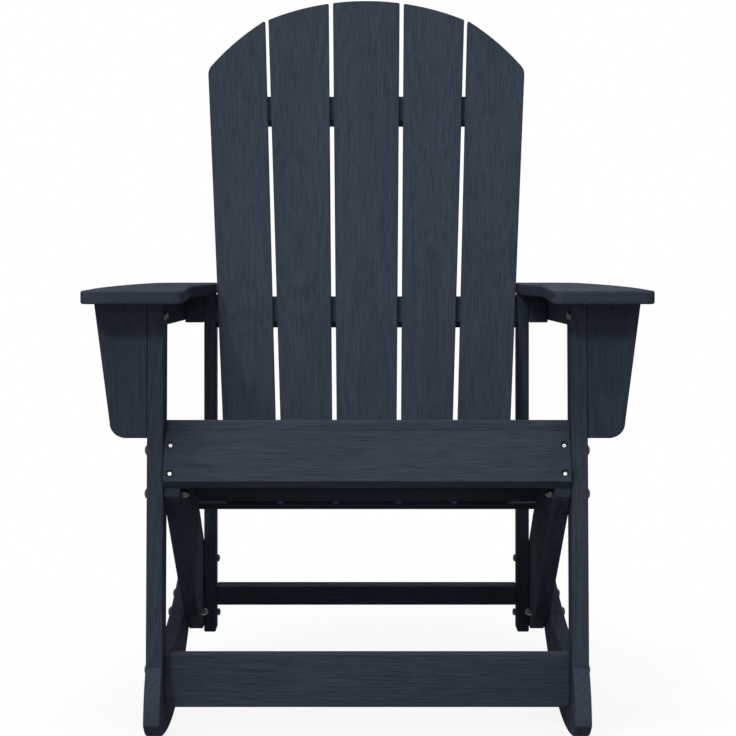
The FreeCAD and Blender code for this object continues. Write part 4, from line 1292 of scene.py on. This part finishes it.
@dataclass
class Studio:
    """The white room: its floor, its lights and the camera."""

    camera_side: float = -0.0085
    camera_distance: float = 3.5
    camera_height: float = 0.6655
    camera_pitch: float = math.radians(2.77)
    lens: float = 129.18
    sensor: float = 36.0
    shift: float = 7.0 / 736.0
    stretcher_depth: float = 0.002
    floor_half: float = 7.0
    floor_drop: float = 0.0004
    floor_colour: Colour = (0.35, 0.35, 0.35)
    floor_seen: Colour = (0.95, 0.95, 0.95)
    shadow_share: float = 0.10
    shadow_reach: float = 1.4
    ambient: float = 0.21
    lamps: tuple[Lamp, ...] = (
        Lamp("key_light", (-1.5, -5.0, 3.0), 0.6, 90.0),
        Lamp("top_light", (-0.5, -1.9, 6.0), 2.0, 215.0),
        Lamp("left_light", (-3.2, -3.0, 1.3), 1.0, 12.0),
        Lamp("front_light", (0.5, -3.6, 0.9), 1.6, 9.0),
        Lamp("rear_light", (0.9, 2.8, 2.4), 1.8, 40.0))

    def build(self) -> None:
        """Sets up the whole room."""
        self.world()
        self.floor()
        middle = (Vector(CAD_BOX[0]) + Vector(CAD_BOX[1])) / 2
        for lamp in self.lamps:
            lamp.build(middle)
        self.camera()
        bpy.context.scene.view_settings.view_transform = "Standard"

    @staticmethod
    def seen_directly(graph: Graph) -> bpy.types.NodeSocket:
        """One for what the camera, a gloss or glass sees, and nought for soft light."""
        path = graph.add("ShaderNodeLightPath").outputs
        seen = graph.math("MAXIMUM", path["Is Camera Ray"], path["Is Glossy Ray"])
        return graph.math("MAXIMUM", seen, path["Is Transmission Ray"])

    def world(self) -> None:
        """White where it is seen, and a soft grey where it only lights."""
        world = bpy.data.worlds.new("studio")
        bpy.context.scene.world = world
        world.use_nodes = True
        graph = Graph(world.node_tree)
        background = world.node_tree.nodes["Background"]
        background.inputs["Color"].default_value = (1.0, 1.0, 1.0, 1.0)
        strength = graph.math("MULTIPLY_ADD", self.seen_directly(graph), 1.0 - self.ambient, self.ambient)
        graph.feed(background.inputs["Strength"], strength)

    def floor(self) -> None:
        """A plain pale floor that looks white and keeps the chair's shadow near it."""
        half = self.floor_half
        low = CAD_BOX[0][2] - self.floor_drop
        mesh = bpy.data.meshes.new("floor")
        mesh.from_pydata([(-half, -half, low), (half, -half, low), (half, half, low), (-half, half, low)], [],
                         [(0, 1, 2, 3)])
        piece = new_piece("floor", mesh)
        material, graph, shader = new_material("floor")
        speckle = graph.noise(graph.vector("SCALE", graph.add("ShaderNodeTexCoord").outputs["Object"], 90.0))
        tone = graph.mix(graph.math("MULTIPLY", speckle, 0.04), rgba(self.floor_colour), rgba(self.floor_seen))
        seen = self.seen_directly(graph)
        graph.feed(shader.inputs["Base Color"], graph.mix(seen, tone, rgba(self.floor_seen)))
        shader.inputs["Roughness"].default_value = 0.9
        shader.inputs["Specular IOR Level"].default_value = 0.1
        place = graph.add("ShaderNodeTexCoord").outputs["Object"]
        away = graph.vector("LENGTH", place, number=True)
        near = graph.remap(away, self.shadow_reach, 0.4 * self.shadow_reach, 0.0, self.shadow_share)
        white = graph.add("ShaderNodeEmission", {"Color": (1.0, 1.0, 1.0, 1.0), "Strength": 1.0}).outputs[0]
        share = graph.math("MULTIPLY", seen, graph.math("SUBTRACT", 1.0, near))
        mixed = graph.add("ShaderNodeMixShader", {0: share, 1: shader.outputs[0], 2: white}).outputs[0]
        graph.feed(material.node_tree.nodes["Material Output"].inputs["Surface"], mixed)
        mesh.materials.append(material)

    def camera(self) -> None:
        """The photograph's camera, straight in front of the chair and looking slightly down."""
        data = bpy.data.cameras.new("camera")
        data.sensor_width = self.sensor
        data.lens = self.lens
        data.shift_x = self.shift
        camera = bpy.data.objects.new("camera", data)
        bpy.context.scene.collection.objects.link(camera)
        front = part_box("front_stretcher")[0].y - self.stretcher_depth
        camera.location = (self.camera_side, front - self.camera_distance, self.camera_height)
        camera.rotation_euler = (math.pi / 2 - self.camera_pitch, 0.0, 0.0)
        bpy.context.scene.camera = camera


def main() -> None:
    """Builds the chair's pieces and the room in order."""
    logging.basicConfig(level=logging.INFO, format="%(name)s %(message)s")
    effects = SharedEffects.make()
    lumber = PolyLumber().make(effects)
    steel = FastenerSteel().make(effects)
    # A darker copy of the same steel for bolts, nuts and washers: its dark base colour is painted shade standing in
    # for the dark surroundings that their bare steel reflects.
    shade_painted_steel = FastenerSteel("shade_painted_steel", (0.055, 0.057, 0.06), (0.035, 0.033, 0.03), 0.26).make(effects)
    for work in (Rockers, ArmFrames, FanBack, SeatFrame):
        LOG.info("%s", work.__name__)
        work(lumber).build()
    head = Fastener.all_of("seat_screws")[0].head_radius
    SeatSlats(lumber, head).build()
    Hardware(steel, shade_painted_steel).build()
    Studio().build()


if __name__ == "__main__":
    main()
